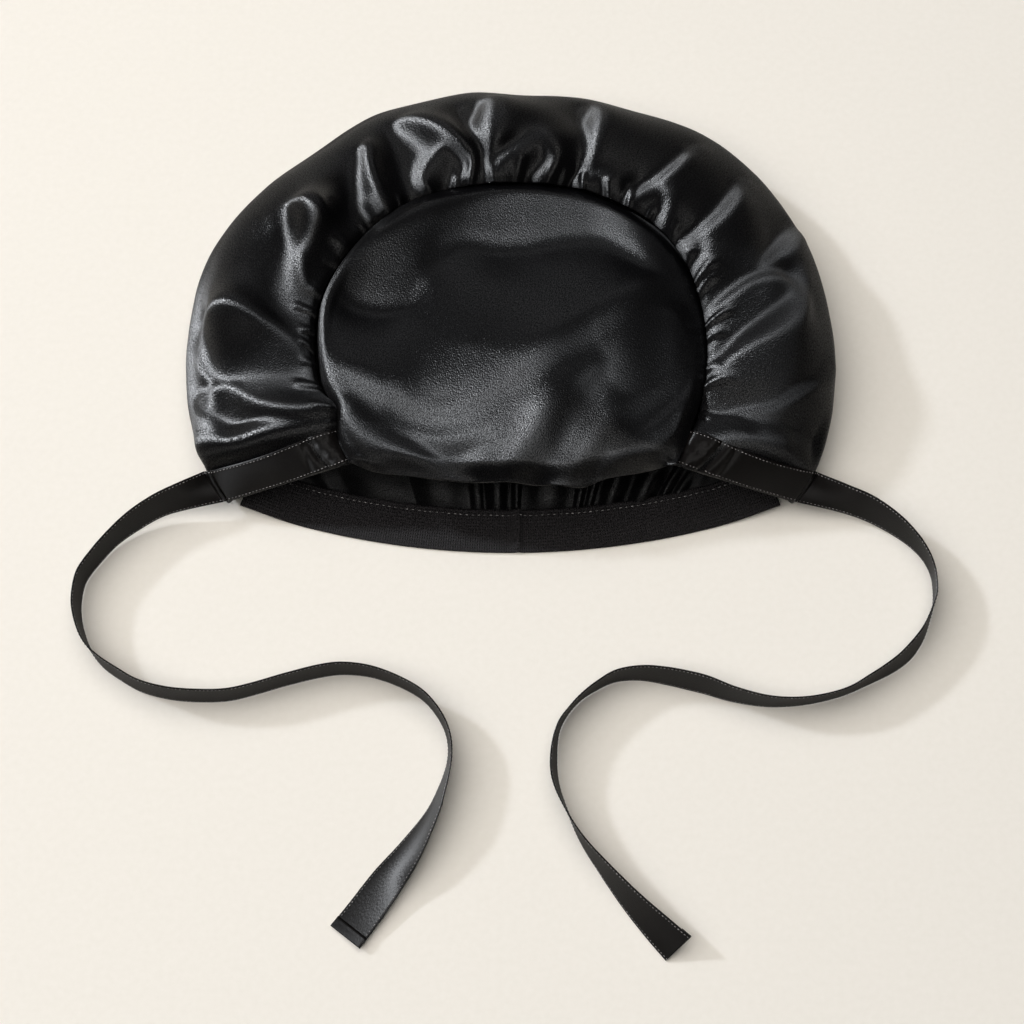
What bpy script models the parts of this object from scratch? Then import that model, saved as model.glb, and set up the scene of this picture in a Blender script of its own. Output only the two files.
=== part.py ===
"""Sleep bonnet lying flat: domed satin crown, gathered side panel, elastic nape and ribbon ties.

The bonnet lies on the level z = 0 with its mouth towards -Y. The side panel runs as one strip from the
left mouth corner over the far side to the right one. Across the strip it starts at the crown seam, swells
over the outline, turns under and runs back along the surface to the elastic.
"""

import math

import bmesh
import bpy
from mathutils import Vector

# Driving dimensions, in metres
BONNET_WIDTH = 0.3028  # across the puffed sides as it lies
CROWN_WIDTH = 0.1840  # across the crown's round seam
LIP_REACH = 0.0600  # from the round's middle to the crown's front lip
NAPE_REACH = 0.0729  # from the round's middle to the middle of the elastic
NAPE_BEND = 0.3560  # radius of the elastic's slow curve
BAND_WIDTH = 0.0203
BAND_HALF_ANGLE = 20.0  # degrees of the slow curve on either side of the middle
RIBBON_WIDTH = 0.0165

SATIN = 0.0012  # wall of the crown and of the side panel
ELASTIC = 0.0016
RIBBON = 0.0010
CLEARANCE = 0.0003  # between pieces that lie on each other
TUCK = 0.0040  # satin under the elastic's upper edge

SEAM_HEIGHT = 0.0340  # crown seam above the surface
CROWN_RISE = 0.0135  # crown's middle above its seam
LIP_ROLL = 0.0030  # how far the crown's front lip rolls down
EDGE_HEIGHT = 0.0165  # widest line of the side panel
PUFF_RISE = 0.0100  # swell of the side panel between seam and outline
TURN_DEPTH = 0.0140  # how far the side panel turns under before it lies flat
RIM_FALL = 0.0300  # strip beside the front rim that slopes down to it
RIM_HEIGHT_AT_CROWN = 0.0300
RIM_HEIGHT_AT_CORNER = 0.0084
FOLD_HEIGHT = 0.0048  # tallest fold of the side panel
FOLD_SPREAD = 0.0085  # half width of a fold at the outline
FOLD_PINCH = 0.62  # its share of that width at the seam
GATHER_HEIGHT = 0.0030  # standing gathers above the elastic
GATHER_REACH = 0.0300  # how far they run back from the elastic
GATHERS = 17
BAND_END_RISE = 0.0035  # the elastic's ends lift towards the rim
RIBBON_INSET = 0.0010  # ribbon's lower edge back from the front rim
RIBBON_STAND = 0.0008  # sewn ribbon above the satin it bridges

# Ends of the two long edges of the side panel, in degrees from +X round the middle of the crown's round
SEAM_LEFT = 214.6
SEAM_RIGHT = -34.3
OUTLINE_LEFT = 205.0
OUTLINE_RIGHT = -25.0
NAPE_HALF_ANGLE = 20.5  # satin's back edge on the slow curve

# How finely the cloth is cut up
SIDE_STEPS_ALONG = 104
CROWN_STEPS = 16
BAND_STEPS = 34
RIM_RIBBON_STEPS = 24

# Cross lines of the side panel: 0 to 1 from seam to outline, then the turn under, the flat back, the
# standing gathers and the edge tucked under the elastic
TURNED = 1.3
FLAT = 1.6
GATHERED = 1.9
SIDE_ROWS = [0.0, 0.05, 0.12, 0.2, 0.3, 0.42, 0.55, 0.68, 0.8, 0.9, 1.0, 1.1, 1.2, TURNED, FLAT]
SIDE_ROWS += [1.675, 1.75, 1.825, GATHERED, 2.0]

# Half the gap between the walls that meet at the crown seam
SEAM_HALF_GAP = (SATIN + CLEARANCE) / 2

# The round's middle lies behind the origin, which is under the middle of the whole bonnet
BACK_SHARE = 1.010  # reach of the far side as a share of half the width
ROUND_Y = (NAPE_REACH + BAND_WIDTH / 2 - BACK_SHARE * BONNET_WIDTH / 2) / 2
BEND_Y = ROUND_Y - NAPE_REACH + NAPE_BEND

# Lengths of the side panel's two long edges
SEAM_LENGTH = math.radians(SEAM_LEFT - SEAM_RIGHT) * CROWN_WIDTH / 2
OUTLINE_LENGTH = math.radians(OUTLINE_LEFT - OUTLINE_RIGHT) * BONNET_WIDTH / 2

# Outline of the side panel: share of half the bonnet's width at each angle, in degrees
OUTLINE = [
    # angle, reach
    (-25.0, 0.952),
    (-20.0, 0.978),
    (-9.0, 0.993),
    (2.0, 1.000),
    (11.0, 1.002),
    (28.0, 1.027),
    (40.0, 1.034),
    (53.0, 1.025),
    (67.0, 0.989),
    (77.0, 1.000),
    (88.0, 0.981),
    (98.0, 1.004),
    (107.0, 0.992),
    (116.0, 1.012),
    (129.0, 0.990),
    (142.0, 1.010),
    (157.0, 1.027),
    (170.0, 1.011),
    (181.0, 0.999),
    (191.0, 0.988),
    (199.6, 0.974),
    (205.0, 0.951),
]

# Crown seam: share of half the crown's width at each angle
SEAM = [
    # angle, reach
    (-34.3, 0.991),
    (-21.0, 0.967),
    (-8.0, 0.979),
    (2.0, 0.996),
    (15.0, 1.013),
    (25.0, 1.035),
    (44.0, 1.053),
    (55.0, 1.038),
    (68.0, 1.022),
    (78.0, 1.003),
    (90.0, 0.993),
    (102.0, 0.999),
    (111.0, 1.014),
    (125.0, 1.029),
    (144.0, 1.016),
    (161.0, 1.004),
    (171.0, 0.979),
    (180.0, 0.958),
    (189.0, 0.943),
    (197.0, 0.911),
    (206.0, 0.952),
    (214.6, 0.965),
]

# Crown lip from its left corner to the right one: forward reach as a share of LIP_REACH, height as one
# of SEAM_HEIGHT
LIP = [
    # along, reach, height
    (0.00, 0.840, 1.00),
    (0.08, 0.905, 0.94),
    (0.20, 0.955, 0.97),
    (0.33, 1.000, 0.90),
    (0.48, 1.006, 1.00),
    (0.62, 1.018, 0.98),
    (0.71, 1.022, 0.89),
    (0.79, 0.950, 0.98),
    (0.90, 0.880, 0.95),
    (1.00, 0.860, 1.00),
]

# Folds of the side panel: where each runs along the strip at the seam and at the outline, its first and
# last share of the way from seam to outline, its height as a share of FOLD_HEIGHT and its width as one of
# FOLD_SPREAD
FOLDS = [
    # at_seam, at_outline, start, end, height, width
    (0.055, 0.072, 0.00, 0.95, 0.50, 0.70),
    (0.064, 0.110, 0.00, 1.00, 0.80, 0.80),
    (0.105, 0.128, 0.10, 1.05, 0.55, 0.90),
    (0.152, 0.165, 0.00, 1.10, 0.95, 1.00),
    (0.208, 0.272, 0.00, 1.00, 0.80, 0.95),
    (0.243, 0.318, 0.00, 0.90, 0.75, 0.90),
    (0.312, 0.352, 0.00, 1.05, 0.80, 0.75),
    (0.348, 0.378, 0.00, 0.85, 0.65, 0.65),
    (0.388, 0.405, 0.00, 1.10, 0.80, 0.75),
    (0.398, 0.450, 0.00, 0.45, 0.50, 0.70),
    (0.426, 0.437, 0.00, 0.60, 0.60, 0.60),
    (0.473, 0.456, 0.00, 1.10, 0.70, 0.70),
    (0.482, 0.510, 0.10, 0.90, 0.55, 0.75),
    (0.530, 0.548, 0.00, 0.50, 0.75, 0.80),
    (0.548, 0.530, 0.25, 1.10, 0.50, 0.95),
    (0.574, 0.577, 0.00, 1.10, 0.80, 0.80),
    (0.610, 0.618, 0.00, 1.05, 0.60, 0.80),
    (0.648, 0.676, 0.00, 1.05, 0.75, 0.80),
    (0.690, 0.650, 0.00, 0.40, 0.50, 0.75),
    (0.724, 0.723, 0.00, 1.10, 0.95, 0.75),
    (0.762, 0.715, 0.00, 0.40, 0.50, 0.75),
    (0.770, 0.782, 0.25, 1.10, 0.60, 0.90),
    (0.815, 0.801, 0.00, 1.00, 1.00, 0.80),
    (0.862, 0.830, 0.00, 0.90, 0.85, 0.85),
    (0.897, 0.864, 0.10, 1.05, 0.50, 0.90),
    (0.925, 0.898, 0.00, 1.05, 0.70, 0.80),
    (0.942, 0.950, 0.00, 0.95, 0.45, 0.75),
]

# Dents and ridges of the crown, as shares of half its width; the rise is a share of CROWN_RISE
CROWN_DENTS = [
    # x, y, heading, half_length, half_width, rise
    (-0.20, -0.42, 62.0, 0.34, 0.075, -0.30),
    (-0.08, -0.40, 56.0, 0.36, 0.090, 0.22),
    (0.36, -0.40, 48.0, 0.34, 0.070, -0.28),
    (0.50, -0.30, 44.0, 0.42, 0.085, 0.24),
    (0.62, -0.02, 38.0, 0.36, 0.080, -0.20),
    (0.40, -0.08, 40.0, 0.40, 0.110, 0.20),
    (-0.66, -0.10, 20.0, 0.26, 0.070, -0.22),
    (-0.60, 0.06, 35.0, 0.30, 0.090, 0.18),
    (-0.30, 0.55, 30.0, 0.40, 0.120, 0.16),
    (0.20, 0.30, -20.0, 0.34, 0.140, -0.14),
]

# Free stretch of the left tie, measured from the mouth corner: where its lower edge runs, how high that
# edge is and how far the ribbon leans over to its right as it runs away from the bonnet
LEFT_ROUTE = [
    # x, y, lift, lean
    (-0.0190, -0.0028, 0.0056, 30.0),
    (-0.0296, -0.0055, 0.0036, 20.0),
    (-0.0402, -0.0112, 0.0018, 15.0),
    (-0.0497, -0.0182, 0.0009, 8.0),
    (-0.0571, -0.0268, 0.0006, 6.0),
    (-0.0630, -0.0360, 0.0006, 5.0),
    (-0.0646, -0.0452, 0.0006, 5.0),
    (-0.0641, -0.0533, 0.0006, 5.0),
    (-0.0616, -0.0624, 0.0006, 4.0),
    (-0.0580, -0.0699, 0.0006, 2.0),
    (-0.0528, -0.0765, 0.0006, -3.0),
    (-0.0455, -0.0820, 0.0006, -5.0),
    (-0.0346, -0.0882, 0.0006, -5.0),
    (-0.0216, -0.0917, 0.0006, -5.0),
    (-0.0085, -0.0929, 0.0006, -5.0),
    (0.0049, -0.0924, 0.0006, -4.0),
    (0.0165, -0.0896, 0.0006, -3.0),
    (0.0317, -0.0850, 0.0006, -3.0),
    (0.0474, -0.0812, 0.0006, -4.0),
    (0.0578, -0.0802, 0.0006, -4.0),
    (0.0700, -0.0817, 0.0006, -3.0),
    (0.0828, -0.0864, 0.0006, -2.0),
    (0.0932, -0.0929, 0.0006, -2.0),
    (0.1006, -0.1026, 0.0006, -3.0),
    (0.1038, -0.1120, 0.0006, -5.0),
    (0.1034, -0.1219, 0.0006, -9.0),
    (0.0991, -0.1341, 0.0006, -17.0),
    (0.0935, -0.1445, 0.0006, -28.0),
    (0.0827, -0.1578, 0.0006, -50.0),
    (0.0719, -0.1697, 0.0007, -70.0),
    (0.0622, -0.1824, 0.0008, -79.0),
    (0.0537, -0.1933, 0.0008, -84.0),
]

# Free stretch of the right tie
RIGHT_ROUTE = [
    # x, y, lift, lean
    (0.0206, -0.0036, 0.0055, -31.0),
    (0.0328, -0.0071, 0.0030, -24.0),
    (0.0443, -0.0128, 0.0013, -14.0),
    (0.0532, -0.0194, 0.0007, -4.0),
    (0.0588, -0.0262, 0.0006, 2.0),
    (0.0616, -0.0334, 0.0006, 4.0),
    (0.0621, -0.0402, 0.0006, 4.0),
    (0.0616, -0.0469, 0.0006, 4.0),
    (0.0592, -0.0555, 0.0006, 7.0),
    (0.0558, -0.0641, 0.0006, 11.0),
    (0.0499, -0.0726, 0.0006, 14.0),
    (0.0413, -0.0791, 0.0006, 10.0),
    (0.0288, -0.0852, 0.0006, 3.0),
    (0.0168, -0.0903, 0.0006, -2.0),
    (0.0004, -0.0941, 0.0006, -2.0),
    (-0.0159, -0.0950, 0.0006, 2.0),
    (-0.0315, -0.0927, 0.0006, 8.0),
    (-0.0435, -0.0892, 0.0006, 13.0),
    (-0.0512, -0.0872, 0.0006, 14.0),
    (-0.0624, -0.0845, 0.0006, 12.0),
    (-0.0732, -0.0827, 0.0006, 8.0),
    (-0.0841, -0.0835, 0.0006, 4.0),
    (-0.0927, -0.0872, 0.0006, 0.0),
    (-0.1004, -0.0923, 0.0006, -3.0),
    (-0.1063, -0.0992, 0.0006, -2.0),
    (-0.1100, -0.1071, 0.0006, 3.0),
    (-0.1110, -0.1185, 0.0006, 10.0),
    (-0.1102, -0.1303, 0.0006, 12.0),
    (-0.1063, -0.1429, 0.0006, 8.0),
    (-0.1007, -0.1567, 0.0006, -1.0),
    (-0.0925, -0.1704, 0.0006, -12.0),
    (-0.0827, -0.1852, 0.0006, -26.0),
    (-0.0725, -0.1986, 0.0006, -42.0),
    (-0.0645, -0.2081, 0.0007, -55.0),
]

FINISHES = {
    # name: (colour, roughness)
    "black satin": ((0.012, 0.011, 0.013, 1.0), 0.34),
    "knitted elastic": ((0.010, 0.010, 0.011, 1.0), 0.82),
    "satin ribbon": ((0.011, 0.010, 0.011, 1.0), 0.28),
}


def lerp(a, b, share):
    """Value between a and b."""
    return a + (b - a) * share


def ease(share):
    """Smooth step from 0 to 1."""
    share = min(max(share, 0.0), 1.0)
    return share * share * (3.0 - 2.0 * share)


def hermite(a, b, slope_a, slope_b, t):
    """Smooth curve from a to b with the slopes given there, t 0 to 1."""
    ends = a * (1 + 2 * t) * (1 - t) ** 2 + b * t * t * (3 - 2 * t)
    return ends + slope_a * t * (1 - t) ** 2 - slope_b * t * t * (1 - t)


def read_table(rows, column, place):
    """Smooth curve through one column of a table whose first column rises."""
    places = [row[0] for row in rows]
    values = [row[column] for row in rows]
    place = min(max(place, places[0]), places[-1])
    k = 0
    while k < len(rows) - 2 and place > places[k + 1]:
        k += 1
    slopes = []
    for i in (k, k + 1):
        before = max(i - 1, 0)
        after = min(i + 1, len(rows) - 1)
        slopes.append((values[after] - values[before]) / (places[after] - places[before]))
    step = places[k + 1] - places[k]
    t = (place - places[k]) / step
    return hermite(values[k], values[k + 1], slopes[0] * step, slopes[1] * step, t)


def round_point(angle, reach):
    """Level point at an angle in degrees and a distance from the round's middle."""
    turn = math.radians(angle)
    return Vector((reach * math.cos(turn), ROUND_Y + reach * math.sin(turn), 0.0))


def seam_point(angle, outwards):
    """Point of the crown seam, moved outwards from the sewing line."""
    reach = read_table(SEAM, 1, angle) * CROWN_WIDTH / 2 + outwards
    return round_point(angle, reach) + Vector((0.0, 0.0, SEAM_HEIGHT))


def outline_point(angle):
    """Point of the side panel's widest line."""
    reach = read_table(OUTLINE, 1, angle) * BONNET_WIDTH / 2
    return round_point(angle, reach) + Vector((0.0, 0.0, EDGE_HEIGHT))


def nape_point(angle, outwards):
    """Point beside the elastic's middle line; outwards is towards the wearer's neck."""
    turn = math.radians(angle)
    reach = NAPE_BEND + outwards
    return Vector((reach * math.sin(turn), BEND_Y - reach * math.cos(turn), 0.0))


def rim_distance(along, across):
    """Length of cloth between a point and the nearer front rim."""
    share = min(across, 1.0)
    return min(along, 1.0 - along) * lerp(SEAM_LENGTH, OUTLINE_LENGTH, share)


def fold_rise(along, across):
    """Height of the folds at a point of the side panel."""
    share = min(across, 1.0)
    length = lerp(SEAM_LENGTH, OUTLINE_LENGTH, share)
    rise = 0.0
    for at_seam, at_outline, start, end, height, width in FOLDS:
        middle = lerp(at_seam, at_outline, math.sin(share * math.pi / 2))
        spread = width * FOLD_SPREAD * lerp(FOLD_PINCH, 1.0, share)
        off = (along - middle) * length / spread
        if abs(off) > 4.0:
            continue
        swell = ease((across - start + 0.12) / 0.24) * ease((end + 0.12 - across) / 0.30)
        rise += height * FOLD_HEIGHT * swell * math.exp(-off * off)
    held = ease((rim_distance(along, across) - RIBBON_WIDTH) / (0.6 * RIBBON_WIDTH))
    return rise * held


def puff(share):
    """Swell of the side panel over the straight way from seam to outline, fullest nearer the seam."""
    return PUFF_RISE * (math.sin(math.pi * share) + 0.35 * math.sin(2 * math.pi * share))


def side_point(along, across):
    """Point of the side panel at a share of its length, across it 0 seam, 1 outline, 2 nape."""
    seam = seam_point(lerp(SEAM_LEFT, SEAM_RIGHT, along), SEAM_HALF_GAP)
    edge = outline_point(lerp(OUTLINE_LEFT, OUTLINE_RIGHT, along))
    nape_angle = lerp(-NAPE_HALF_ANGLE, NAPE_HALF_ANGLE, along)
    nape = nape_point(nape_angle, TUCK - BAND_WIDTH / 2)
    nape.z = SATIN / 2
    outwards = Vector((edge.x - seam.x, edge.y - seam.y, 0.0)).normalized()
    drop = rim_drop(along, across)
    if across <= 1.0:
        turn = across * math.pi / 2
        point = seam.lerp(edge, math.sin(turn))
        point.z = lerp(edge.z, seam.z, math.cos(turn)) + puff(across) - drop
        normal = outwards * math.sin(turn) + Vector((0.0, 0.0, math.cos(turn)))
        return point + normal * fold_rise(along, across)
    edge.z -= drop
    inwards = Vector((nape.x - edge.x, nape.y - edge.y, 0.0))
    flat = edge + inwards.normalized() * min(TURN_DEPTH, 0.45 * inwards.length)
    flat.z = SATIN / 2
    if across < TURNED:
        turn = (across - 1.0) / (TURNED - 1.0) * math.pi / 2
        point = edge.lerp(flat, 1.0 - math.cos(turn))
        point.z = edge.z + (flat.z - edge.z) * math.sin(turn)
        normal = outwards * math.cos(turn)
        return point + normal * fold_rise(along, across)
    point = flat.lerp(nape, back_share(across, behind_elastic(flat) + TUCK))
    point.z = SATIN / 2 + gather_rise(along, behind_elastic(point))
    return point


def back_share(across, reach):
    """Share of the way from the turn to the satin's back edge, for a flat back of this reach."""
    reach = max(reach, 2.5 * (TUCK + SATIN))
    gathered = max(1.0 - (GATHER_REACH + TUCK) / reach, 0.2)
    tucked = 1.0 - (TUCK + SATIN) / reach
    if across < FLAT:
        return lerp(0.0, gathered, (across - TURNED) / (FLAT - TURNED))
    if across < GATHERED:
        return lerp(gathered, tucked, (across - FLAT) / (GATHERED - FLAT))
    return lerp(tucked, 1.0, (across - GATHERED) / (2.0 - GATHERED))


def rim_drop(along, across):
    """How far the strip beside the front rim lies below the swell."""
    share = min(across, 1.0)
    turn = share * math.pi / 2
    full = lerp(EDGE_HEIGHT, SEAM_HEIGHT, math.cos(turn)) + puff(share)
    rim = lerp(RIM_HEIGHT_AT_CROWN, RIM_HEIGHT_AT_CORNER, math.sin(turn))
    away = min(rim_distance(along, across) / RIM_FALL, 1.0)
    return (full - rim) * (1.0 - away) ** 2


def behind_elastic(point):
    """Distance of a level point behind the elastic's upper edge."""
    return NAPE_BEND - BAND_WIDTH / 2 - math.hypot(point.x, BEND_Y - point.y)


def gather_rise(along, behind):
    """Standing gathers of the back layer, held flat under the elastic."""
    start = ease((behind - SATIN) / (0.25 * GATHER_REACH))
    end = ease((GATHER_REACH - behind) / (0.7 * GATHER_REACH))
    beside_rims = ease(min(along, 1.0 - along) / 0.10)
    wave = math.sin(GATHERS * math.pi * along) ** 2
    return GATHER_HEIGHT * start * end * beside_rims * wave


def crown_edge(angle):
    """Crown's edge at an angle of the round map: the seam, or below its corners the front lip."""
    if -45.0 <= angle <= 225.0:
        share = (angle + 45.0) / 270.0
        return seam_point(lerp(SEAM_RIGHT, SEAM_LEFT, share), -SEAM_HALF_GAP)
    left = seam_point(SEAM_LEFT, -SEAM_HALF_GAP)
    right = seam_point(SEAM_RIGHT, -SEAM_HALF_GAP)
    share = (math.cos(math.radians(angle)) / math.cos(math.radians(45.0)) + 1.0) / 2
    reach = read_table(LIP, 1, share) * LIP_REACH
    height = read_table(LIP, 2, share) * SEAM_HEIGHT
    return Vector((lerp(left.x, right.x, share), ROUND_Y - reach, height))


def crown_point(x, y):
    """Point of the crown for a point of the square from -1 to 1, whose lower corners are its corners."""
    disc_x = x * math.sqrt(1.0 - y * y / 2)
    disc_y = y * math.sqrt(1.0 - x * x / 2)
    reach = min(math.hypot(disc_x, disc_y), 1.0)
    angle = math.degrees(math.atan2(disc_y, disc_x))
    if angle < -90.0:
        angle += 360.0
    edge = crown_edge(angle)
    middle = Vector((0.0, ROUND_Y, SEAM_HEIGHT))
    point = middle.lerp(edge, reach)
    half = CROWN_WIDTH / 2
    point.z = lerp(SEAM_HEIGHT, edge.z, reach**3) + CROWN_RISE * (1.0 - reach**2.6)
    inside = ease((1.0 - reach) / 0.22)
    for dent_x, dent_y, heading, half_length, half_width, rise in CROWN_DENTS:
        off_x = point.x / half - dent_x
        off_y = (point.y - ROUND_Y) / half - dent_y
        turn = math.radians(heading)
        run = (off_x * math.cos(turn) + off_y * math.sin(turn)) / half_length
        side = (off_y * math.cos(turn) - off_x * math.sin(turn)) / half_width
        point.z += inside * rise * CROWN_RISE * math.exp(-run * run - side * side)
    past_corner = 45.0 - min(abs(angle + 90.0), abs(angle - 270.0))
    point.z -= LIP_ROLL * ease(past_corner / 20.0) * ease((reach - 0.85) / 0.15)
    return point


def band_point(along, across):
    """Point of the elastic: along it -1 to 1, across it 0 at the upper edge, 1 at the neck edge."""
    point = nape_point(along * BAND_HALF_ANGLE, (across - 0.5) * BAND_WIDTH)
    over_satin = SATIN + CLEARANCE + ELASTIC / 2
    on_surface = ELASTIC / 2
    step = ease((across * BAND_WIDTH - TUCK - SATIN) / (1.5 * TUCK))
    point.z = lerp(over_satin, on_surface, step) + BAND_END_RISE * ease((abs(along) - 0.75) / 0.25)
    return point


def cloth_grid(name, steps_x, steps_y, place, thickness, finish):
    """Open grid whose points a function places, given its thickness by Solidify."""
    mesh = bpy.data.meshes.new(name)
    grid = bmesh.new()
    bmesh.ops.create_grid(grid, x_segments=steps_x, y_segments=steps_y, size=0.5)
    for vertex in grid.verts:
        vertex.co = place(vertex.co.x + 0.5, vertex.co.y + 0.5)
    bmesh.ops.recalc_face_normals(grid, faces=grid.faces)
    grid.to_mesh(mesh)
    grid.free()
    mesh.shade_smooth()
    mesh.materials.append(make_finish(finish))
    piece = bpy.data.objects.new(name, mesh)
    wall = piece.modifiers.new("wall", "SOLIDIFY")
    wall.thickness = thickness
    wall.offset = 0.0
    wall.use_even_offset = False
    COLLECTION.objects.link(piece)
    return piece


def make_finish(name):
    """Plain Principled material in the piece's colour."""
    if name in bpy.data.materials:
        return bpy.data.materials[name]
    colour, roughness = FINISHES[name]
    material = bpy.data.materials.new(name)
    material.use_nodes = True
    shader = material.node_tree.nodes["Principled BSDF"]
    shader.inputs["Base Color"].default_value = colour
    shader.inputs["Roughness"].default_value = roughness
    shader.inputs["Metallic"].default_value = 0.0
    return material


def make_side_panel():
    """Gathered satin strip from the seam over the outline to the nape."""
    return cloth_grid(
        "side_panel",
        SIDE_STEPS_ALONG,
        len(SIDE_ROWS) - 1,
        lambda x, y: side_point(x, SIDE_ROWS[round(y * (len(SIDE_ROWS) - 1))]),
        SATIN,
        "black satin",
    )


def make_crown_panel():
    """Domed satin panel inside the seam, with its free lip at the front."""
    return cloth_grid(
        "crown_panel",
        CROWN_STEPS,
        CROWN_STEPS,
        lambda x, y: crown_point(2.0 * x - 1.0, 2.0 * y - 1.0),
        SATIN,
        "black satin",
    )


def make_elastic_band():
    """Knitted elastic along the nape."""
    return cloth_grid(
        "elastic_band",
        BAND_STEPS,
        3,
        lambda x, y: band_point(2.0 * x - 1.0, y),
        ELASTIC,
        "knitted elastic",
    )


def side_normal(along, across):
    """Outward direction of the side panel at a point of its front."""
    step = 0.004
    run = side_point(min(along + step, 1.0), across) - side_point(max(along - step, 0.0), across)
    rise = side_point(along, min(across + step, 1.0)) - side_point(along, max(across - step, 0.0))
    normal = rise.cross(run).normalized()
    return normal if normal.z > 0.0 else -normal


def rim_point(side, share, width_share):
    """Point of the sewn ribbon: share runs from crown to mouth corner, width_share up from the rim."""
    across = lerp(0.035, 0.985, share)
    wanted = RIBBON_INSET + width_share * RIBBON_WIDTH
    step = 0.0015
    along = 0.0
    walked = 0.0
    here = side_point(along if side < 0 else 1.0 - along, across)
    while walked < wanted:
        along += step
        there = side_point(along if side < 0 else 1.0 - along, across)
        stride = (there - here).length
        if walked + stride > wanted:
            along -= step * (1.0 - (wanted - walked) / stride)
            break
        walked += stride
        here = there
    place = along if side < 0 else 1.0 - along
    lift = SATIN / 2 + RIBBON_STAND + RIBBON / 2
    return side_point(place, across) + side_normal(place, across) * lift


def make_rim_ribbon(name, side):
    """Ribbon sewn over the front rim from the crown to the mouth corner."""

    def place(x, y):
        return rim_point(side, x, y)

    return cloth_grid(name, RIM_RIBBON_STEPS, 2, place, RIBBON, "satin ribbon")


def tie_sections(side, route):
    """Lower and upper edge of the free ribbon, section by section, starting at the sewn ribbon's end."""
    low = rim_point(side, 1.0, 0.0)
    high = rim_point(side, 1.0, 1.0)
    before = rim_point(side, 0.9, 0.0)
    away = (low - before).normalized() * (CLEARANCE + RIBBON / 2)
    corner = low.copy()
    sections = [(low + away, high + away)]
    edge = [corner + Vector((x, y, 0.0)) for x, y, lift, lean in route]
    for k, (x, y, lift, lean) in enumerate(route):
        edge[k].z = lift
        ahead = edge[min(k + 1, len(edge) - 1)]
        behind = edge[k - 1] if k else corner
        run = Vector((ahead.x - behind.x, ahead.y - behind.y, 0.0)).normalized()
        right = Vector((run.y, -run.x, 0.0))
        turn = math.radians(lean)
        rise = right * math.sin(turn) + Vector((0.0, 0.0, math.cos(turn)))
        sections.append((edge[k], edge[k] + rise * RIBBON_WIDTH))
    return sections


def smooth_through(points, place):
    """Point of a smooth curve through a list of points, place 0 to 1."""
    spans = len(points) - 1
    k = min(int(place * spans), spans - 1)
    t = place * spans - k
    a = points[max(k - 1, 0)]
    b = points[k]
    c = points[k + 1]
    d = points[min(k + 2, spans)]
    return hermite(b, c, (c - a) / 2, (d - b) / 2, t)


def make_tie(name, side, route):
    """Free ribbon standing on its lower edge, laid flat towards its end."""
    sections = tie_sections(side, route)
    lows = [low for low, high in sections]
    highs = [high for low, high in sections]

    def place(x, y):
        return smooth_through(lows, x).lerp(smooth_through(highs, x), y)

    return cloth_grid(name, 2 * len(route), 1, place, RIBBON, "satin ribbon")


for old in list(bpy.data.objects):
    bpy.data.objects.remove(old)

COLLECTION = bpy.data.collections.new("sleep_bonnet")
bpy.context.scene.collection.children.link(COLLECTION)

make_crown_panel()
make_side_panel()
make_elastic_band()
make_rim_ribbon("rim_ribbon_left", -1)
make_rim_ribbon("rim_ribbon_right", 1)
make_tie("tie_left", -1, LEFT_ROUTE)
make_tie("tie_right", 1, RIGHT_ROUTE)
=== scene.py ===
"""Visual model of a sleep bonnet: black polyester satin, a knitted elastic nape and satin ribbon ties.

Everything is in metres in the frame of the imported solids. The bonnet lies on z = 0 with its mouth to -Y.
The side panel is one gathered strip: along it 0 is the left mouth corner and 1 the right one, and across it
0 is the crown seam, 1 the outline and 2 the edge under the elastic.
"""

import math

import bpy
import numpy as np
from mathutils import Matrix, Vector, noise


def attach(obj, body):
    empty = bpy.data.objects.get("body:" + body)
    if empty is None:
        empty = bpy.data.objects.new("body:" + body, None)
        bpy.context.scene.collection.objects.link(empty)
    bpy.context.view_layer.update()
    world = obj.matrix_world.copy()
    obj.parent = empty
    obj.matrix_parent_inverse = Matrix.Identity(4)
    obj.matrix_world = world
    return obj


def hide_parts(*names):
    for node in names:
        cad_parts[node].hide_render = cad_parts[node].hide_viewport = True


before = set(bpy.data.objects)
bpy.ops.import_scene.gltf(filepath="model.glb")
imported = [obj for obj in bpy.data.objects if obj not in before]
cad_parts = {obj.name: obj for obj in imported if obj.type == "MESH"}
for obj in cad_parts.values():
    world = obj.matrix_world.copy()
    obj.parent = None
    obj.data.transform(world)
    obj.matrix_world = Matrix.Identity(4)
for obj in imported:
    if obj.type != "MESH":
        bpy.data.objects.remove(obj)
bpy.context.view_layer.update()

# Sizes of the sewn pieces
BONNET_WIDTH = 0.3028
CROWN_WIDTH = 0.1840
LIP_REACH = 0.0600  # from the round's middle to the crown's front lip
NAPE_REACH = 0.0729  # from the round's middle to the middle of the elastic
NAPE_BEND = 0.3560  # radius of the elastic's slow curve
BAND_WIDTH = 0.0203
BAND_HALF_ANGLE = 20.0
RIBBON_WIDTH = 0.0165
SATIN = 0.0007
ELASTIC = 0.0013
RIBBON = 0.0005
TUCK = 0.0040  # satin under the elastic's upper edge

# Heights of the puffed bonnet
SEAM_HEIGHT = 0.0340
CROWN_RISE = 0.0135
LIP_ROLL = 0.0030
EDGE_HEIGHT = 0.0165
PUFF_RISE = 0.0062
TURN_DEPTH = 0.0140
RIM_FALL = 0.0300
RIM_HEIGHT_AT_CROWN = 0.0300
RIM_HEIGHT_AT_CORNER = 0.0084
BAND_END_RISE = 0.0035
RIBBON_INSET = 0.0010
RIBBON_STAND = 0.0007

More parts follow.
